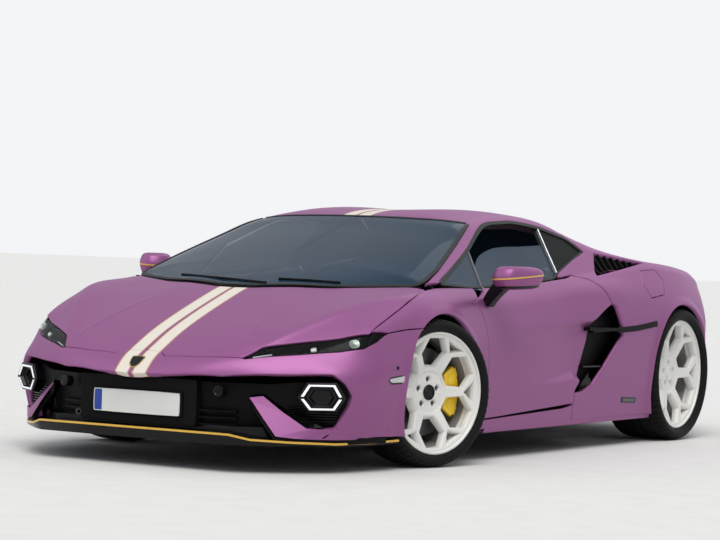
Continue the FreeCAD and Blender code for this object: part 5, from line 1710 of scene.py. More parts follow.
@dataclass
class NoseTrim(Assembly):
    """Intake lamps, fins, grille, blade, plate, sensors and emblem."""
    plate_size: tuple[float, float] = (0.468, 0.103)
    plate_y: float = -2.294
    plate_z: float = 0.281

    def build(self) -> None:
        """Makes all of the nose's trim."""
        ring = spots(INTAKE_RING)
        self.ring = around(ring, 1.05, Vector((0, 0, 0)))
        self.aim = (ring[1] - ring[4]).cross(ring[2] - ring[5]).normalized()
        if self.aim.y > 0:
            self.aim.negate()
        self.form("intake_lamp_pods", self.pods, GLOSS_BLACK, nodes=["intake_lamps"],
                  both_sides=True, bevel=0.0015)
        self.form("intake_lamp_lines", self.lines, LAMP_WHITE, "lamp_glass", both_sides=True)
        self.form("splitter_blade", self.blade, GLOSS_BLACK, nodes=["splitter"], angle=30)
        self.form("splitter_line", self.blade_line, YELLOW, "body_paint")
        self.form("number_plate_front", self.plate, PLATE, bevel=0.0015)
        self.form("number_plate_band_front", self.plate_band, PLATE_BLUE, bevel=0.0008)
        self.form("number_plate_carrier", self.carrier, MATTE_BLACK, bevel=0.006)
        self.form("parking_sensors", self.sensors, GLOSS_BLACK, both_sides=True)
        self.form("intake_slats", self.slats, GLOSS_BLACK, both_sides=True)
        for name, low, high, finish in (("nose_fins", 0.0, 0.003, PAINT),
                                        ("nose_fin_backs", 0.0035, 0.014, MATTE_BLACK)):
            def fin(bm: bmesh.types.BMesh, low: float = low, high: float = high) -> None:
                """One skin of the left fin and lip."""
                self.fins(bm, low, high)

            self.form(name, fin, finish, "body_paint", both_sides=True, angle=25)
        self.emblem()

    def fins(self, bm: bmesh.types.BMesh, low: float, high: float) -> None:
        """Upright fin of the mouth that runs down into the nose's lower lip.

        Args:
            bm: Mesh that takes the fin.
            low: Distance of its face behind the real surface.
            high: Distance of its back.
        """
        fronts = spots(FIN_FRONT)
        tops = spots(FIN_TOP)
        rows = []
        for i, (a, b) in enumerate(zip(fronts, tops)):
            ahead = fronts[min(i + 1, len(fronts) - 1)] - fronts[max(i - 1, 0)]
            upward = tops[i + 1] - fronts[i + 1] if i < 2 else b - a
            normal = ahead.cross(upward).normalized()
            normal = normal if normal.x > 0 else -normal
            foot = a - UP * (0.022 if low else 0.0)
            rows.append([foot - normal * low, b - normal * low, b - normal * high,
                         foot - normal * high])
        loft(bm, rows)
        tip = spots(FIN_TIP)
        corner, middle = fronts[0], tops[1]
        normal = (tip[1] - tip[0]).cross(middle - corner).normalized()
        normal = normal if normal.z > 0 else -normal
        loft(bm, [[tip[0] - normal * d, tip[1] - normal * d, middle - normal * d,
                   corner - normal * d] for d in (low, high)])

    def pods(self, bm: bmesh.types.BMesh) -> None:
        """Hexagonal pod that steps down into its dark middle."""
        back = self.aim * -0.05
        steps = ((1.16, back), (1.16, self.aim * -0.004), (1.10, self.aim * 0.001),
                 (0.80, self.aim * 0.001), (0.74, self.aim * -0.014), (0.60, self.aim * -0.016),
                 (0.52, self.aim * -0.034))
        loft(bm, [around(self.ring, scale, push) for scale, push in steps])

    def lines(self, bm: bmesh.types.BMesh) -> None:
        """The two bright halves of the hexagon."""
        middle = sum(self.ring, Vector()) / 6
        for half in ((0, 1, 2, 3), (3, 4, 5, 0)):
            corners = [self.ring[i].copy() for i in half]
            corners[0] = corners[0].lerp(corners[1], 0.10)
            corners[3] = corners[3].lerp(corners[2], 0.10)
            rows = []
            for corner in corners:
                inner = middle + (corner - middle) * 0.86
                rows.append([corner - self.aim * 0.004, corner + self.aim * 0.003,
                             inner + self.aim * 0.003, inner - self.aim * 0.004])
            loft(bm, rows)

    def blade_edge(self) -> list[Vector]:
        """Places along the blade's leading edge, from the right side to the left."""
        edge = spots(BLADE_EDGE)
        return [Vector((-p.x, p.y, p.z)) for p in reversed(edge[1:])] + edge

    def blade(self, bm: bmesh.types.BMesh) -> None:
        """Thin black lip under the nose, from side to side."""
        whole = self.blade_edge()
        rows = []
        for p in whole:
            if abs(p.x) < 0.85:
                inward = Vector((0, 0.4, 0))
            else:
                inward = Vector((-math.copysign(0.3, p.x), 0.1, 0)) * 0.4
            rows.append([p + Vector((0, 0, -0.003)), p + inward * 0.06 + Vector((0, 0, 0.004)),
                         p + inward + Vector((0, 0, 0.004)), Vector((p.x, p.y, 0.124)) + inward,
                         Vector((p.x, p.y, 0.124)) + inward * 0.04,
                         p + Vector((0, 0, -0.012)) + inward * 0.01])
        loft(bm, rows)
        inner = []
        for p in whole:
            shift = Vector((-0.055 * p.x, 0.085, 0))
            q = p + shift
            inner.append([Vector((q.x, q.y, 0.130)), Vector((q.x, q.y, 0.200)),
                          Vector((q.x, q.y + 0.008, 0.200)), Vector((q.x, q.y + 0.008, 0.130))])
        loft(bm, inner[1:-1])

    def blade_line(self, bm: bmesh.types.BMesh) -> None:
        """The yellow line on the blade's edge."""
        whole = self.blade_edge()
        frames = []
        for i, p in enumerate(whole):
            along = (whole[min(i + 1, len(whole) - 1)] - whole[max(i - 1, 0)]).normalized()
            out = along.cross(UP).normalized()
            frames.append((p, UP, out))
        sweep(bm, frames, ((-0.0045, -0.008), (-0.0045, 0.0012), (0.0045, 0.0012),
                           (0.0045, -0.008)))

    def slab(self, bm: bmesh.types.BMesh, x: tuple[float, float], z: tuple[float, float], y: float,
             depth: float, corner: float) -> None:
        """A slab that faces forward, with rounded corners."""
        low, high = x
        bottom, top = z
        line = rounded_line([(low, bottom + corner), (low, top - corner), (low + corner, top),
                             (high - corner, top), (high, top - corner), (high, bottom + corner),
                             (high - corner, bottom), (low + corner, bottom)], 1)
        loft(bm, [[(u, y, v) for u, v in line], [(u, y + depth, v) for u, v in line]])

    def plate(self, bm: bmesh.types.BMesh) -> None:
        """Blank number plate with a raised rim."""
        half, tall = self.plate_size[0] / 2, self.plate_size[1] / 2
        self.slab(bm, (-half, half), (self.plate_z - tall, self.plate_z + tall), self.plate_y,
                  0.004, 0.006)
        rim = rounded_line([(-half, -tall + 0.006), (-half, tall - 0.006), (-half + 0.006, tall),
                            (half - 0.006, tall), (half, tall - 0.006), (half, -tall + 0.006),
                            (half - 0.006, -tall), (-half + 0.006, -tall)], 1)
        rows = []
        for scale, push in ((1.0, 0.0), (1.0, -0.0015), (0.985, -0.0015), (0.985, 0.0)):
            upright = scale if scale == 1 else 0.93
            rows.append([(u * scale, self.plate_y + push, self.plate_z + v * upright)
                         for u, v in rim])
        loft(bm, rows, looped=True)

    def plate_band(self, bm: bmesh.types.BMesh) -> None:
        """Plain band at the plate's end."""
        half, tall = self.plate_size[0] / 2, self.plate_size[1] / 2
        low, high = self.plate_z - tall + 0.004, self.plate_z + tall - 0.004
        self.slab(bm, (-half + 0.004, -half + 0.045), (low, high),
                  self.plate_y - 0.0012, 0.002, 0.003)

    def carrier(self, bm: bmesh.types.BMesh) -> None:
        """Flat panel behind the plate, and its two tabs."""
        self.slab(bm, (-0.315, 0.315), (0.186, 0.398), self.plate_y + 0.012, 0.05, 0.010)
        self.slab(bm, (-0.245, 0.245), (0.222, 0.340), self.plate_y + 0.004, 0.02, 0.008)

    def sensors(self, bm: bmesh.types.BMesh) -> None:
        """Round sensors in the grille and on the fender's corner."""
        aim = Vector((0.12, -1, 0.1)).normalized()
        caps = [(Vector((0.42, -2.262, 0.352)), aim, 0.024, 0.010)]
        place, normal = NOSE.hit(NOSE.side(front(-441), 469), Vector((-1, 0, 0)))
        caps.append((place, normal, 0.009, 0.0015))
        for centre, aim, size, height in caps:
            side = aim.cross(UP).normalized()
            up = side.cross(aim)
            rings = []
            for scale, push in ((1.0, -0.03 if size > 0.02 else -0.003), (1.0, height),
                                (0.8, height + 0.001), (0.7, height - 0.001), (0.25, height)):
                rings.append([centre + (side * math.cos(t) + up * math.sin(t)) * size * scale
                              + aim * push for t in turns(18)])
            loft(bm, rings)

    def slats(self, bm: bmesh.types.BMesh) -> None:
        """Horizontal slats of the outer intakes, round the lamp pod."""
        for row in range(9):
            z = 0.222 + row * 0.0115
            x0 = max(0.655 - (z - 0.21) * 0.5, 0.60)
            x1 = 0.850
            steps = 6
            frames = []
            for i in range(steps + 1):
                x = x0 + (x1 - x0) * i / steps
                y = front(np.interp(x * 1000, (600, 700, 800, 868), (-905, -868, -812, -748))) * MM
                frames.append((Vector((x, y + 0.035, z)), UP,
                               Vector((0.55, -0.83, 0)).normalized()))
            sweep(bm, frames, ((-0.002, -0.01), (-0.002, 0.004), (0.002, 0.006), (0.002, -0.01)))

    def emblem(self) -> None:
        """Bare shield on the nose."""
        for name, scale, finish, proud, depth in (("nose_shield_rim", 1.0, BRASS, -0.0022, 0.004),
                                                  ("nose_shield", 0.84, GLOSS_BLACK, -0.0034,
                                                   0.004)):
            line = []
            for x, z in SHIELD:
                line.append(NOSE.face(x * scale, 462 + (z - 462) * scale))
            sheet = panel(NOSE, line, (0, -0.8, 0.6), depth=depth, gap=0, corner=0.003, edge=0.001,
                          lower=proud, spacing=0.006).whole()
            self.cover(name, sheet, self.palette.of(finish), "black_trim")


@dataclass
class SideTrim(Assembly):
    """Trim between the side intake and the rear arch, and the intake's blades."""
    strip_width: float = 0.030

    def build(self) -> None:
        """Makes the strips, blades and markers."""
        strip = CABIN.sides(((rear(-812), 612), (rear(-600), 620), (rear(-350), 643)))

        def strips(bm: bmesh.types.BMesh) -> None:
            """Black strip from the intake to the arch."""
            sweep(bm, frames_on(CABIN, strip), trim_section(self.strip_width, 0.0035, 0.006))

        def lips(bm: bmesh.types.BMesh) -> None:
            """Painted lower edge of the left flank between the wheels."""
            rows = []
            for y in np.linspace(front(472), rear(-322), 30):
                x = CABIN.side(y, UNDER_CABIN_Z).x
                rows.append([(x + 0.0006, y * MM, 0.158), (x - 0.005, y * MM, 0.134),
                             (x - 0.03, y * MM, 0.134), (x - 0.03, y * MM, 0.158)])
            loft(bm, rows)

        self.form("flank_lips", lips, PAINT, "body_paint", both_sides=True, bevel=0.002)
        self.form("side_strips", strips, MATTE_BLACK, both_sides=True)

        def blades(bm: bmesh.types.BMesh) -> None:
            """Thin blades across the intake, one high and one low."""
            for ends, depth in ((((rear(-1046), 607), (rear(-760), 612)), 0.03),
                                (((rear(-1150), 428), (rear(-905), 424)), 0.05)):
                line = CABIN.sides(ends)
                frames = frames_on(CABIN, line, lower=0.016)
                sweep(bm, frames, ((-0.005, -depth), (-0.006, -0.004), (-0.003, 0.0), (0.003, 0.0),
                                   (0.006, -0.004), (0.005, -depth)))

        self.form("intake_blades", blades, GLOSS_BLACK, both_sides=True)
        for name, finish, width, height, ends in (
                ("quarter_marker_frames", GLOSS_BLACK, 0.030, 0.0022, (728, 902)),
                ("quarter_markers", TRIM_GREY, 0.014, 0.0034, (746, 884))):
            line = [CABIN.side(y, 244 - (y - 728) * 0.05) for y in ends]

            def marker(bm: bmesh.types.BMesh, line: Sequence[Vector] = line, width: float = width,
                       height: float = height) -> None:
                """Slim marker low on the quarter."""
                sweep(bm, frames_on(CABIN, line), trim_section(width, height, 0.004))

            self.form(name, marker, finish, both_sides=True, bevel=0.001)


@dataclass
class Mirrors(Assembly):
    """Door mirrors: painted cap with a gold line, a band of darker paint below it as painted shade, dark
    lower shell and stalk.
    """
    steps: int = 2

    def ring(self, z: float, grow: float, lean: float = 0.0) -> list[tuple[float, float, float]]:
        """Outline of the housing at a height.

        Args:
            z: Height in metres.
            grow: Growth about the middle, where 1 is the widest outline.
            lean: Rise towards the outer end.

        Returns:
            The places on the left mirror.
        """
        line = rounded_line([(x * MM, front(y) * MM) for x, y in MIRROR_OUTLINE], self.steps)
        middle = (1.055, front(520) * MM)
        out = []
        for x, y in line:
            x, y = middle[0] + (x - middle[0]) * grow, middle[1] + (y - middle[1]) * grow
            out.append((x, y, z + lean * (x - middle[0] + y - middle[1]) / 0.1))
        return out

    def build(self) -> None:
        """Makes both mirrors."""
        upper = [self.ring(z, grow, lean) for z, grow, lean in ((0.881, 1.0, 0.0065),
                                                                (0.888, 1.0, 0.0065),
                                                                (0.905, 0.955, 0.0045),
                                                                (0.922, 0.86, 0.0015),
                                                                (0.931, 0.72, 0.0),
                                                                (0.9345, 0.50, 0.0))]
        lower = [self.ring(z, grow, lean) for z, grow, lean in ((0.881, 0.99, 0.0065),
                                                                (0.864, 0.965, 0.005),
                                                                (0.845, 0.89, 0.0035),
                                                                (0.839, 0.80, 0.003))]
        dark = [self.ring(z, grow, 0.003) for z, grow in ((0.841, 0.86), (0.832, 0.82),
                                                          (0.826, 0.62))]
        line = [self.ring(0.8785, 1.008, 0.0065), self.ring(0.8855, 1.008, 0.0065),
                self.ring(0.8855, 0.98, 0.0065), self.ring(0.8785, 0.98, 0.0065)]
        stalk = []
        for t in np.linspace(0, 1, 7):
            x = 0.905 + 0.085 * t ** 1.3
            z = 0.742 + 0.112 * t
            wide = 0.036 - 0.004 * t
            y = front(515 + 4 * t) * MM
            stalk.append([(x - 0.014 - 0.024 * t, y - wide, z),
                          (x + 0.026 + 0.024 * t, y - wide * 0.8, z - 0.004),
                          (x + 0.034 + 0.026 * t, y, z - 0.005),
                          (x + 0.026 + 0.024 * t, y + wide * 0.8, z - 0.004),
                          (x - 0.014 - 0.024 * t, y + wide, z),
                          (x - 0.018 - 0.026 * t, y, z + 0.001)])
        for side in Side:
            hand = side.name.lower()
            for name, rows, finish, slot, looped, nodes in (
                    ("mirror_cap_", [upper], PAINT, "body_paint", False, ["mirror_" + hand]),
                    # The lower shell takes the darker copy of the paint as painted shade under the mirror
                    ("mirror_lower_", [lower], PAINT_PAINTED_SHADE, "body_paint", False, []),
                    ("mirror_stalk_", [dark, stalk], GLOSS_BLACK, "black_trim", False, []),
                    ("mirror_line_", [line], YELLOW, "body_paint", True, [])):

                def build(bm: bmesh.types.BMesh, rows: list = rows, looped: bool = looped,
                          sign: int = side.value) -> None:
                    """One shell of one mirror."""
                    for stack in rows:
                        loft(bm, [[(x * sign, y, z) for x, y, z in ring] for ring in stack],
                             looped=looped)

                self.form(name + hand, build, finish, slot, "door_" + hand, nodes=nodes, angle=28)
            self.form("mirror_glass_" + hand, self.face(side), MIRROR_GLASS, "tinted_glass",
                      "door_" + hand, bevel=0.001)

    def face(self, side: Side) -> Builder:
        """Builder of the glass on the housing's rear face."""
        def build(bm: bmesh.types.BMesh) -> None:
            """Flat glass in a rounded outline."""
            a = Vector((1.010 * side.value, front(583) * MM, 0))
            b = Vector((1.098 * side.value, front(646) * MM, 0))
            out = Vector(((b - a).y * side.value, -(b - a).x * side.value, 0)).normalized()
            out = out if out.y > 0 else -out
            line = rounded_line([(0.0, 0.858), (0.0, 0.914), (0.14, 0.921), (0.86, 0.921),
                                 (1.0, 0.906), (1.0, 0.862)], 2)
            loft(bm, [[a.lerp(b, u) + Vector((0, 0, v)) + out * push for u, v in line]
                      for push in (-0.012, -0.001)])

        return build


@dataclass
class Wheel(Assembly):
    """One road wheel: pierced face, barrel, hub, cap, brake disc and tyre."""
    place: str
    rim_radius: float
    half_width: float
    tyre_radius: float
    tyre_half: float
    disc_centre: float
    spokes: int = 6
    dish: float = 0.052
    web: float = 0.044
    chamfer: float = 0.006
    hub_radius: float = 0.092
    stud_circle: float = 0.062
    disc_radius: float = 0.205
    bell_radius: float = 0.097
    disc_thickness: float = 0.032

    def build(self) -> None:
        """Makes the wheel's pieces."""
        joint = JOINTS[self.place + "_spin"]
        self.sign = 1 if self.place.endswith("left") else -1
        out = Vector(joint["axis"]).normalized() * self.sign
        across = UP.cross(out).normalized()
        self.matrix = Matrix((out, across, UP)).transposed().to_4x4()
        self.matrix.translation = Vector(joint["pos_m"])
        self.lip = self.rim_radius - 0.016
        self.middle = float(self.height(np.array([0.0]))[0])
        body, place = "wheel_" + self.place, self.place
        white = self.palette.of(WHEEL)
        face = placed(self.face(), self.matrix)
        self.cover("rim_spokes_" + place, face, white, "wheel_paint", body,
                   nodes=["wheel_" + place])
        self.add(solid("rim_barrel_" + place, self.barrel, white, angle=40), body, "wheel_paint")
        self.form("rim_inside_" + place, self.inside, WHEEL_INSIDE, "wheel_paint", body, angle=40)
        self.form("wheel_bolts_" + place, self.bolts, HUB_STEEL, "frame_metal", body, bevel=0.0008)
        cap = GLOSS_BLACK if place.startswith("front") else WHEEL
        self.form("wheel_cap_" + place, self.cap, cap, body=body)
        disc = placed(self.disc(), self.matrix)
        self.cover("brake_disc_" + place, disc, self.palette.of(DISC), "frame_metal", body)
        self.form("brake_bell_" + place, self.bell, HUB_STEEL, "frame_metal", body)
        self.form("tyre_carcass_" + place, self.tyre, TYRE, "tyre_rubber", body,
                  nodes=["tyre_" + place], angle=30)

    def height(self, radius: np.ndarray) -> np.ndarray:
        """Place of the face along the axis, dished towards the hub."""
        share = np.clip((radius - self.hub_radius) / (self.lip - self.hub_radius), 0, 1)
        return self.half_width - 0.010 - self.dish * (1 - share ** 0.75)

    def face(self) -> Sheet:
        """Six spokes that fork towards the rim, and the hub with its stud holes."""
        lip = self.lip
        window = [(lip * 0.375, -0.036), (lip * 0.375, 0.036), (lip * 0.67, 0.089),
                  (lip - 0.010, 0.050), (lip - 0.010, -0.050), (lip * 0.67, -0.089)]
        notch = [(lip * 0.715, 0.0), (lip - 0.012, 0.067), (lip - 0.012, -0.067)]
        holes = []
        for k in range(self.spokes):
            holes.append(polar(window, 360 / self.spokes * (k + 0.5)))
            holes.append(polar(notch, 360 / self.spokes * k))
        for k in range(5):
            angle = math.radians(90 + 72 * k)
            centre = (self.stud_circle * math.cos(angle), self.stud_circle * math.sin(angle))
            holes.append(disc_line(0.0215, 16, centre))
        return plate(disc_line(lip, 120), holes, self.height, 0.008, self.web, self.chamfer, 0.003,
                     corner=0.004)

    def barrel(self, bm: bmesh.types.BMesh) -> None:
        """Outer flange and the visible part of the barrel."""
        r, w = self.rim_radius, self.half_width
        profile = ((w - 0.012, r - 0.001), (w - 0.001, r - 0.001), (w, r - 0.003), (w, r - 0.009),
                   (w - 0.003, r - 0.012), (w - 0.009, r - 0.0135), (w - 0.030, r - 0.018),
                   (w - 0.075, r - 0.026), (w - 0.080, r - 0.018), (w - 0.020, r - 0.010))
        turned(bm, self.matrix, profile, 120)

    def inside(self, bm: bmesh.types.BMesh) -> None:
        """Inner part of the barrel and the back of the hub."""
        r, w = self.rim_radius, self.half_width
        profile = ((w - 0.074, r - 0.026), (w - 0.11, r - 0.032), (-w + 0.03, r - 0.030),
                   (-w + 0.002, r - 0.014), (-w, r - 0.001), (-w + 0.010, r - 0.001),
                   (-w + 0.014, r - 0.008), (w - 0.11, r - 0.022), (w - 0.074, r - 0.016))
        turned(bm, self.matrix, profile, 96)
        face = self.middle
        hub = ((face - 0.044, 0.0), (face - 0.044, 0.098), (face - 0.030, 0.101),
               (face - 0.0285, 0.0))
        turned(bm, self.matrix, hub, 48, looped=False)

    def bolts(self, bm: bmesh.types.BMesh) -> None:
        """Five wheel bolts in their holes."""
        face = self.middle
        for k in range(5):
            angle = math.radians(90 + 72 * k)
            y, z = self.stud_circle * math.cos(angle), self.stud_circle * math.sin(angle)
            rings = []
            for a, size in ((face - 0.030, 0.0088), (face - 0.012, 0.0088),
                            (face - 0.0105, 0.0074)):
                rings.append([self.matrix @ Vector((a, y + size * math.cos(t),
                                                    z + size * math.sin(t))) for t in turns(6)])
            loft(bm, rings)

    def cap(self, bm: bmesh.types.BMesh) -> None:
        """Plain centre cap with a raised ring."""
        face = self.middle
        profile = ((face - 0.004, 0.0), (face - 0.004, 0.036), (face + 0.004, 0.036),
                   (face + 0.0055, 0.0345), (face + 0.0055, 0.0305), (face + 0.0025, 0.029),
                   (face + 0.0025, 0.020), (face + 0.0042, 0.0185), (face + 0.0052, 0.0))
        turned(bm, self.matrix, profile, 40, looped=False)

    def disc(self) -> Sheet:
        """Cross-drilled brake disc."""
        centre = self.disc_centre + self.disc_thickness / 2
        holes = [disc_line(self.bell_radius + 0.001, 60)]
        for k in range(18):
            for row, radius in enumerate((0.128, 0.146, 0.164, 0.182)):
                angle = 2 * math.pi * (k + row * 0.28) / 18
                holes.append(disc_line(0.0035, 6, (radius * math.cos(angle),
                                                   radius * math.sin(angle))))
        return plate(disc_line(self.disc_radius, 90), holes, lambda r: np.full(len(r), centre),
                     0.014, self.disc_thickness, 0.0012, corner=0.0)

    def bell(self, bm: bmesh.types.BMesh) -> None:
        """Bell in the middle of the disc."""
        c, t = self.disc_centre, self.disc_thickness / 2
        face = self.middle - 0.046
        profile = ((c - t, 0.0), (c - t, self.bell_radius), (c + t - 0.004, self.bell_radius),
                   (c + t, 0.094), (min(c + t + 0.012, face), 0.086), (face, 0.080), (face, 0.0))
        turned(bm, self.matrix, profile, 60, looped=False)

    def tyre(self, bm: bmesh.types.BMesh) -> None:
        """Low-profile tyre with grooves round it, cross cuts in its shoulders and ribbed walls."""
        r, w, bead, rim = self.tyre_radius, self.tyre_half, self.half_width, self.rim_radius
        wall = r - rim
        half = [(0.0, r), (0.016, r), (0.0175, r - 0.007), (0.0255, r - 0.007), (0.027, r - 0.0002),
                (w * 0.47, r - 0.0006), (w * 0.48, r - 0.0075), (w * 0.55, r - 0.0078),
                (w * 0.56, r - 0.0011), (w * 0.70, r - 0.0024), (w * 0.82, r - 0.0048),
                (w * 0.90, r - 0.0085), (w * 0.955, r - 0.0150), (w * 0.985, r - 0.0235),
                (w * 0.997, r - wall * 0.42), (w * 1.0, r - wall * 0.5), (w * 1.0, r - wall * 0.56),
                (w * 0.992, r - wall * 0.60), (w * 0.992, r - wall * 0.66),
                (w * 0.985, r - wall * 0.70), (w * 0.965, r - wall * 0.80),
                (w * 0.945, r - wall * 0.84), (w * 0.93, r - wall * 0.93),
                (bead - 0.002, rim + 0.0015), (bead - 0.010, rim - 0.002)]
        profile = half[::-1] + [(-a, q) for a, q in half[1:]]
        blocks = 60

        def cuts(k: int, a: float, q: float) -> float:
            """Depth of the cross cuts at a step."""
            phase = (k + (1 if a > 0 else 3)) % 5
            if phase == 0 and w * 0.57 < abs(a) < w * 0.96 and q > r - 0.03:
                return -0.006
            if k % 5 == 2 and 0.027 < abs(a) < w * 0.475 and q > r - 0.003:
                return -0.004
            return 0.0

        turned(bm, self.matrix, profile, blocks * 5, change=cuts)


@dataclass
class Caliper(Assembly):
    """A brake caliper that straddles its disc."""
    place: str
    centre: float
    toward: int
    body: str
    nodes: Sequence[str] = ()
    half: float = 0.039
    reach: float = 33.0

    def build(self) -> None:
        """Makes the caliper on its side of the car."""
        joint = JOINTS[self.place + "_spin"]
        sign = 1 if self.place.endswith("left") else -1
        out = Vector(joint["axis"]).normalized() * sign
        back = UP.cross(out).normalized() * sign
        matrix = Matrix((out, back * self.toward, UP)).transposed().to_4x4()
        matrix.translation = Vector(joint["pos_m"])

        def block(bm: bmesh.types.BMesh, inner: float, outer: float, low: float, high: float,
                  reach: float) -> None:
            """Part of a ring between two radii and two places along the axis."""
            rows = []
            for t in np.linspace(-1, 1, 15):
                angle = math.radians(reach * t)
                drop = 0.010 * abs(t) ** 5
                corners = ((low, inner + drop), (high, inner + drop), (high, outer - 0.010 - drop),
                           (high - math.copysign(0.008, high - low), outer - drop),
                           (low, outer - drop))
                rows.append([matrix @ Vector((self.centre + a, r * math.cos(angle),
                                              r * math.sin(angle))) for a, r in corners])
            loft(bm, rows)

        def build(bm: bmesh.types.BMesh) -> None:
            """Both halves, the bridge and the ribs."""
            block(bm, 0.136, 0.228, 0.0185, self.half, self.reach)
            block(bm, 0.136, 0.228, -0.0185, -self.half, self.reach)
            for t in (-0.72, 0.0, 0.72):
                rows = []
                for u in (-1, 1):
                    angle = math.radians(self.reach * (t + 0.16 * u))
                    rows.append([matrix @ Vector((self.centre + a, r * math.cos(angle),
                                                  r * math.sin(angle))) for a,
                                 r in ((-0.034, 0.212), (0.034, 0.212), (0.034, 0.231),
                                       (-0.034, 0.231))])
                loft(bm, rows)
            for t in (-0.55, 0.0, 0.55):
                angle = math.radians(self.reach * t)
                centre = Vector((0, 0.182 * math.cos(angle), 0.182 * math.sin(angle)))
                rings = []
                for size, push in ((0.027, 0.0), (0.027, 0.003), (0.023, 0.0045), (0.006, 0.0045)):
                    rings.append([matrix @ (centre + Vector((self.centre + self.half + push - 0.001,
                                                             size * math.cos(s),
                                                             size * math.sin(s))))
                                  for s in turns(24)])
                loft(bm, rings)

        self.form("caliper_" + self.place + "_dressed", build, CALIPER, "caliper_paint", self.body,
                  nodes=self.nodes, bevel=0.002)


@dataclass
class Cabin(Assembly):
    """Two bucket seats, the dashboard's top and the steering wheel's boss."""
    seat_x: float = 0.37

    def pad(self, bm: bmesh.types.BMesh, rows: Sequence[tuple[Vector, Vector, float,
                                                              float]]) -> None:
        """A crowned cushion from places, outward ways, half widths and thicknesses along it."""
        rings = []
        for place, out, half, thick in rows:
            ring = []
            for t in turns(20):
                c, s = math.cos(t), math.sin(t)
                wide = math.copysign(abs(c) ** 0.45, c) * half
                tall = math.copysign(abs(s) ** 0.6, s) * thick * (1.0 if s > 0 else 0.55)
                crown = 0.012 * math.cos(min(abs(wide) / half, 1) * math.pi / 2)
                ring.append(place + Vector((wide, 0, 0)) + out * (tall + (crown if s > 0 else 0)))
            rings.append(ring)
        loft(bm, rings)

    def line(self, start: Point, end: Point, out: Point, halves: Sequence[float],
             thicks: Sequence[float], x: float) -> list[tuple[Vector, Vector, float, float]]:
        """Rows of a cushion between two places in the car's middle plane."""
        a, b, way = Vector((x, *start)), Vector((x, *end)), Vector((0, *out)).normalized()
        count = len(halves)
        rows = []
        for i, (half, thick) in enumerate(zip(halves, thicks)):
            share = i / (count - 1)
            rows.append((a.lerp(b, share), way, half, thick))
        return rows

    def build(self) -> None:
        """Makes the seats' pads, their bolsters, piping and the wheel."""
        leather, seam = self.palette.of(LEATHER), self.palette.of(SEAM)
        first = True
        for side in Side:
            x = self.seat_x * side.value
            hand = side.name.lower()
            base_y, back_y = front(900) * MM, front(1400) * MM

            def cushion(bm: bmesh.types.BMesh, x: float = x, base_y: float = base_y) -> None:
                """Seat cushion with its two bolsters."""
                self.pad(bm, self.line((base_y + 0.03, 0.305), (base_y + 0.47, 0.262), (0, 1),
                                       (0.10, 0.150, 0.160, 0.160, 0.158, 0.150, 0.11),
                                       (0.030, 0.052, 0.058, 0.058, 0.056, 0.050, 0.030), x))
                for way in (-1, 1):
                    self.pad(bm, self.line((base_y + 0.05, 0.325), (base_y + 0.47, 0.300), (0, 1),
                                           (0.020, 0.036, 0.040, 0.040, 0.038, 0.022),
                                           (0.025, 0.060, 0.075, 0.080, 0.072, 0.030),
                                           x + way * 0.195))

            def back(bm: bmesh.types.BMesh, x: float = x, back_y: float = back_y) -> None:
                """Backrest, its bolsters and the head pad."""
                lean = (0.30, 0.95)
                out = (-0.95, 0.30)
                top = (back_y + 0.19, 0.74)
                self.pad(bm, self.line((back_y - 0.035, 0.335), top, out,
                                       (0.10, 0.148, 0.156, 0.152, 0.150, 0.14, 0.10),
                                       (0.030, 0.050, 0.056, 0.052, 0.050, 0.046, 0.030), x))
                for way in (-1, 1):
                    self.pad(bm, self.line((back_y - 0.035, 0.345), (back_y + 0.165, 0.70), out,
                                           (0.020, 0.038, 0.042, 0.040, 0.034, 0.020),
                                           (0.030, 0.080, 0.092, 0.085, 0.062, 0.030),
                                           x + way * 0.193))
                self.pad(bm, self.line((top[0] + 0.012, 0.775), (top[0] + 0.012 + lean[0] * 0.12,
                                                                 0.775 + 0.12), out,
                                       (0.08, 0.125, 0.13, 0.12, 0.08),
                                       (0.025, 0.044, 0.050, 0.046, 0.025), x))

            def piping(bm: bmesh.types.BMesh, x: float = x, base_y: float = base_y) -> None:
                """Sewn cords across the cushion."""
                for share in (0.25, 0.42, 0.59, 0.76):
                    y = base_y + 0.03 + 0.44 * share
                    z = 0.305 - 0.043 * share + 0.070
                    rows = []
                    for u in np.linspace(-0.135, 0.135, 9):
                        drop = 0.010 * (u / 0.135) ** 2
                        rows.append([Vector((x + u, y + 0.0022 * math.cos(t),
                                             z - drop + 0.0022 * math.sin(t))) for t in turns(6)])
                    loft(bm, rows)

            for name, build, finish, pads in (("seat_cushion_", cushion, leather, True),
                                              ("seat_back_", back, leather, True),
                                              ("seat_piping_", piping, seam, False)):
                obj = solid(name + hand, build, finish, rounded=1 if pads else 0, angle=80)
                self.add(obj, "root", "cabin_leather", ["seats"] if first else ())
                first = False
        self.wheel_boss()
        self.dash_top()

    def wheel_boss(self) -> None:
        """Boss of the steering wheel."""
        joint = JOINTS["steering_wheel_turn"]
        out = Vector(joint["axis"]).normalized()
        across = Vector((1, 0, 0))
        up = out.cross(across).normalized()
        up = up if up.z > 0 else -up
        centre = Vector(joint["pos_m"])

        def boss(bm: bmesh.types.BMesh) -> None:
            """Rounded hexagonal boss."""
            line = rounded_line([(-0.062, 0.0), (-0.045, 0.042), (0.045, 0.042), (0.062, 0.0),
                                 (0.036, -0.050), (-0.036, -0.050)], 2)
            sweep(bm, [(centre + out * push, across * grow, up * grow) for push, grow in
                       ((-0.012, 1.0), (0.018, 1.0), (0.027, 0.9), (0.030, 0.7))], line)

        self.form("steering_boss", boss, LEATHER, body="steering_wheel", rounded=1)

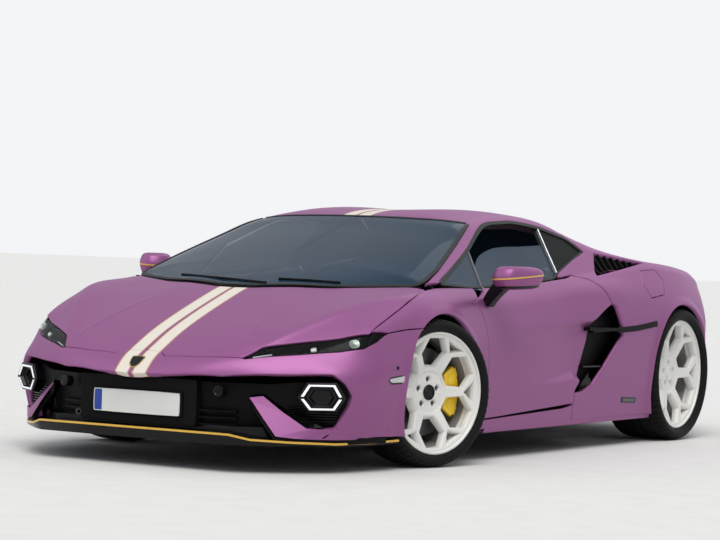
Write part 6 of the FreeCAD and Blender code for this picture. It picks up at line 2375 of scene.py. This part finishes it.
    def dash_top(self) -> None:
        """Binnacle and screen on the dashboard."""
        def build(bm: bmesh.types.BMesh) -> None:
            """Hooded binnacle before the driver and a low centre screen."""
            for x, half, y, z, tall in ((0.37, 0.150, 380, 0.788, 0.050),
                                        (0.0, 0.105, 430, 0.775, 0.030)):
                rows = []
                for share, grow in ((0.0, 0.75), (0.3, 0.95), (0.8, 1.0), (1.0, 0.97)):
                    line = rounded_line([(-half, 0.0), (-half * 0.85, tall), (half * 0.85, tall),
                                         (half, 0.0)], 2)
                    rows.append([(x + u * grow, front(y + 110 * share) * MM, z - 0.006 + v * grow)
                                 for u, v in line])
                loft(bm, rows)

        self.form("dash_binnacle", build, LEATHER, "cabin_leather", bevel=0.002)


@dataclass
class TailTrim(Assembly):
    """Tail lamps, exhaust and rear plate."""
    plate_z: float = 0.458

    def hexagon(self, bm: bmesh.types.BMesh, ring: Sequence[Vector], aim: Vector, steps: Section,
                looped: bool = False) -> None:
        """Nested rings of a hexagon, as scale and push."""
        loft(bm, [around(ring, scale, aim * push) for scale, push in steps], looped=looped)

    def build(self) -> None:
        """Makes the tail's pieces."""
        lamp = CABIN.faces(TAIL_LAMP, -1)
        aim = (lamp[1] - lamp[4]).cross(lamp[2] - lamp[5]).normalized()
        aim = aim if aim.y > 0 else -aim

        def wells(bm: bmesh.types.BMesh) -> None:
            """Black hexagonal well of the left lamp."""
            self.hexagon(bm, lamp, aim, ((0.97, -0.045), (0.97, -0.004), (0.90, 0.000),
                                         (0.66, -0.004), (0.58, -0.026)))

        def rings(bm: bmesh.types.BMesh) -> None:
            """Red hexagonal light of the left lamp."""
            self.hexagon(bm, lamp, aim, ((0.88, -0.008), (0.88, 0.002), (0.86, 0.004),
                                         (0.74, 0.004), (0.72, 0.002), (0.72, -0.008)), looped=True)

        def bars(bm: bmesh.types.BMesh) -> None:
            """Light in the middle of the left lamp."""
            self.hexagon(bm, lamp, aim, ((0.46, -0.034), (0.46, -0.006), (0.42, -0.003),
                                         (0.30, -0.003)))

        self.form("tail_lamp_wells", wells, GLOSS_BLACK, nodes=["tail_lamps"], both_sides=True)
        self.form("tail_lamp_rings", rings, TAIL_RED, "lamp_glass", both_sides=True)
        self.form("tail_lamp_bars", bars, TAIL_RED, "lamp_glass", both_sides=True)
        mouth_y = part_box("exhaust")[1][1]
        outer = [Vector((x * MM, mouth_y, EXHAUST_Z + z * MM)) for x, z in EXHAUST_HEX]
        back = Vector((0, 1, 0))

        def pipe(bm: bmesh.types.BMesh) -> None:
            """Hexagonal tailpipe with a rolled lip and two inner tubes' mouths."""
            self.hexagon(bm, outer, back, ((0.97, -0.20), (0.98, -0.02), (1.0, -0.006),
                                           (0.985, 0.0), (0.92, -0.001), (0.88, -0.010),
                                           (0.86, -0.20)), looped=True)

        def mouths(bm: bmesh.types.BMesh) -> None:
            """Wall across the pipe with two round mouths."""
            self.hexagon(bm, outer, back, ((0.87, -0.13), (0.87, -0.11), (0.2, -0.108)))
            matrix = Matrix((back, Vector((1, 0, 0)), UP)).transposed().to_4x4()
            for x in (-0.052, 0.052):
                matrix.translation = Vector((x, mouth_y - 0.11, EXHAUST_Z))
                turned(bm, matrix, ((-0.01, 0.040), (0.045, 0.040), (0.047, 0.038), (0.045, 0.036),
                                    (-0.01, 0.036)), 32)

        self.form("exhaust_pipe", pipe, EXHAUST, "exhaust_metal", nodes=["exhaust"], angle=25)
        self.form("exhaust_mouths", mouths, HUB_STEEL, "exhaust_metal", angle=25)
        self.rear_plate()

    def rear_plate(self) -> None:
        """Blank plate under the pipe."""
        def plate(bm: bmesh.types.BMesh) -> None:
            """Blank plate under the pipe."""
            line = rounded_line([(-0.234, -0.045), (-0.234, 0.045), (-0.228, 0.0515),
                                 (0.228, 0.0515), (0.234, 0.045), (0.234, -0.045), (0.228, -0.0515),
                                 (-0.228, -0.0515)], 1)
            place = CABIN.face(100, 455, -1)
            loft(bm, [[(u, place.y + push, self.plate_z + v) for u, v in line]
                      for push in (0.001, 0.006)])

        self.form("number_plate_rear", plate, PLATE, bevel=0.001)


def dress_nodes(palette: Palette) -> None:
    """Gives every CAD node that stays its material."""
    finishes = {"arch_liners": MATTE_BLACK, "front_boot": MATTE_BLACK, "front_grille": MATTE_BLACK,
                "rear_grille": MATTE_BLACK, "splitter": GLOSS_BLACK, "diffuser": GLOSS_BLACK,
                "side_ducts": MATTE_BLACK, "cowl": MATTE_BLACK, "wipers": MATTE_BLACK,
                "tub": MATTE_BLACK, "front_frame": HUB_STEEL, "rear_frame": HUB_STEEL,
                "wishbones": STEEL, "knuckle_left": HUB_STEEL, "knuckle_right": HUB_STEEL,
                "rear_uprights": HUB_STEEL, "engine": STEEL, "exhaust": EXHAUST,
                "dashboard": LEATHER, "seats": LEATHER, "steering_wheel": LEATHER,
                "headlamps": LENS, "tail_lamps": TAIL_RED, "intake_lamps": LAMP_WHITE,
                "bulkhead_glass": GLASS, "mirror_left": PAINT, "mirror_right": PAINT,
                "rear_calipers": CALIPER, "caliper_front_left": CALIPER,
                "caliper_front_right": CALIPER, "windscreen": GLASS, "side_panes": GLASS,
                "door_glass_left": GLASS, "door_glass_right": GLASS,}
    for wheel in ("front_left", "front_right", "rear_left", "rear_right"):
        finishes["wheel_" + wheel] = WHEEL
        finishes["tyre_" + wheel] = TYRE
    for name, obj in frame["nodes"].items():
        obj.data.materials.clear()
        obj.data.materials.append(palette.of(finishes.get(name, PAINT)))


# Camera, floor and light

# Azimuth, pitch and roll
CAMERA_TURN = (0.5386732961743956, 0.010790599955450952, 0.03433023360112491)
CAMERA_PLACE = (6.775723, -11.728710, 1.026751)
CAMERA_LENS = 130
# Rim radius, half width, tyre radius, tyre's half width and the disc's centre
WHEEL_SIZES = {"front": (0.284, 0.112, FRONT_TYRE_R, 0.1275, -0.015),
               "rear": (0.297, 0.137, REAR_TYRE_R, 0.1625, -0.034)}


def add_camera() -> None:
    """Camera at the photograph's place and angle."""
    azimuth, pitch, roll = CAMERA_TURN
    back = Vector((math.sin(azimuth) * math.cos(pitch), -math.cos(azimuth) * math.cos(pitch),
                   math.sin(pitch)))
    level = (-back).cross(UP).normalized()
    upright = level.cross(-back)
    right = math.cos(roll) * level + math.sin(roll) * upright
    up = -math.sin(roll) * level + math.cos(roll) * upright
    data = bpy.data.cameras.new("camera")
    data.sensor_width = 36
    data.lens = CAMERA_LENS
    data.clip_end = 200
    camera = bpy.data.objects.new("camera", data)
    matrix = Matrix((right, up, back)).transposed().to_4x4()
    matrix.translation = Vector(CAMERA_PLACE)
    camera.matrix_world = matrix
    bpy.context.scene.collection.objects.link(camera)
    bpy.context.scene.camera = camera


@dataclass
class Studio:
    """Pale floor, pale world and soft lamps."""
    floor_size: float = 160.0
    pale: tuple[float, float, float] = (0.90, 0.91, 0.93)
    sky_strength: float = 0.55

    def build(self) -> None:
        """Makes the studio."""
        bpy.context.scene.view_settings.view_transform = "Standard"
        self.world()
        self.floor()
        self.lamps()

    def world(self) -> None:
        """World that lights softly and looks pale."""
        world = bpy.data.worlds.new("studio")
        bpy.context.scene.world = world
        world.use_nodes = True
        tree = world.node_tree
        link = tree.links.new
        light = tree.nodes["Background"]
        place = tree.nodes.new("ShaderNodeTexCoord")
        split = tree.nodes.new("ShaderNodeSeparateXYZ")
        ramp = tree.nodes.new("ShaderNodeValToRGB")
        link(place.outputs["Generated"], split.inputs[0])
        link(split.outputs["Z"], ramp.inputs["Fac"])
        ramp.color_ramp.elements[0].position = 0.0
        ramp.color_ramp.elements[0].color = (0.55, 0.53, 0.50, 1)
        ramp.color_ramp.elements[1].position = 0.65
        ramp.color_ramp.elements[1].color = (0.95, 0.99, 1.0, 1)
        middle = ramp.color_ramp.elements.new(0.12)
        middle.color = (0.42, 0.46, 0.52, 1)
        link(ramp.outputs["Color"], light.inputs["Color"])
        light.inputs["Strength"].default_value = self.sky_strength
        pale = tree.nodes.new("ShaderNodeBackground")
        pale.inputs["Color"].default_value = (*self.pale, 1)
        path = tree.nodes.new("ShaderNodeLightPath")
        seen = math_node(tree, "MAXIMUM", path.outputs["Is Camera Ray"],
                         math_node(tree, "MULTIPLY", math_node(tree, "MAXIMUM",
                                                               path.outputs["Is Glossy Ray"],
                                                               path.outputs["Is Transmission Ray"]),
                                   0.35))
        mix = tree.nodes.new("ShaderNodeMixShader")
        link(seen, mix.inputs[0])
        link(light.outputs[0], mix.inputs[1])
        link(pale.outputs[0], mix.inputs[2])
        link(mix.outputs[0], tree.nodes["World Output"].inputs[0])

    def floor(self) -> None:
        """Plain pale floor with a faint grain."""
        bpy.ops.mesh.primitive_grid_add(x_subdivisions=4, y_subdivisions=4, size=self.floor_size,
                                        location=(0, 0, -0.0005))
        floor = bpy.context.object
        floor.name = "floor"
        material = bpy.data.materials.new("floor")
        material.use_nodes = True
        tree = material.node_tree
        shader = tree.nodes["Principled BSDF"]
        noise = tree.nodes.new("ShaderNodeTexNoise")
        noise.inputs["Scale"].default_value = 900
        ramp = tree.nodes.new("ShaderNodeValToRGB")
        ramp.color_ramp.elements[0].color = (0.70, 0.69, 0.68, 1)
        ramp.color_ramp.elements[1].color = (0.78, 0.77, 0.76, 1)
        tree.links.new(noise.outputs["Fac"], ramp.inputs["Fac"])
        tree.links.new(ramp.outputs["Color"], shader.inputs["Base Color"])
        put(shader, {"Roughness": 0.85, "Specular IOR Level": 0.2})
        floor.data.materials.append(material)

    def lamps(self) -> None:
        """Soft sun from high in front, a weak fill from the right and a back light."""
        collection = bpy.context.scene.collection
        for name, aim, strength, angle, tone in (
                ("key", (-0.30, 0.42, -0.86), 1.9, 40, (1.0, 0.985, 0.96)),
                ("fill", (0.75, 0.45, -0.48), 0.45, 60, (0.92, 0.96, 1.0)),
                ("back", (-0.1, -0.85, -0.5), 0.35, 60, (0.96, 0.98, 1.0))):
            lamp = bpy.data.lights.new(name, "SUN")
            lamp.energy = strength
            lamp.angle = math.radians(angle)
            lamp.color = tone
            obj = bpy.data.objects.new(name, lamp)
            obj.rotation_euler = Vector(aim).to_track_quat("-Z", "Y").to_euler()
            collection.objects.link(obj)


def main() -> None:
    """Builds the whole car in order and reports each piece."""
    logging.basicConfig(level=logging.INFO)
    add_camera()
    Studio().build()
    palette = Palette()
    dress_nodes(palette)
    parts: list[Assembly] = [Body(palette), Glazing(palette), Headlamps(palette), NoseTrim(palette),
                             SideTrim(palette), Mirrors(palette),
                             *(Wheel(palette, end + hand, *sizes) for end,
                               sizes in WHEEL_SIZES.items() for hand in ("_left", "_right")),
                             Caliper(palette, "front_left", -0.015, 1, "knuckle_left",
                                     ["caliper_front_left"]), Caliper(palette, "front_right",
                                                                      -0.015, 1, "knuckle_right",
                                                                      ["caliper_front_right"]),
                             Caliper(palette, "rear_left", -0.034, -1, "root", ["rear_calipers"]),
                             Caliper(palette, "rear_right", -0.034, -1, "root"), Cabin(palette),
                             TailTrim(palette)]
    for part in parts:
        part.build()
        for piece in part.pieces:
            log.info("%s: %s, %d faces", type(part).__name__, piece.name, len(piece.data.polygons))


if __name__ == "__main__":
    main()
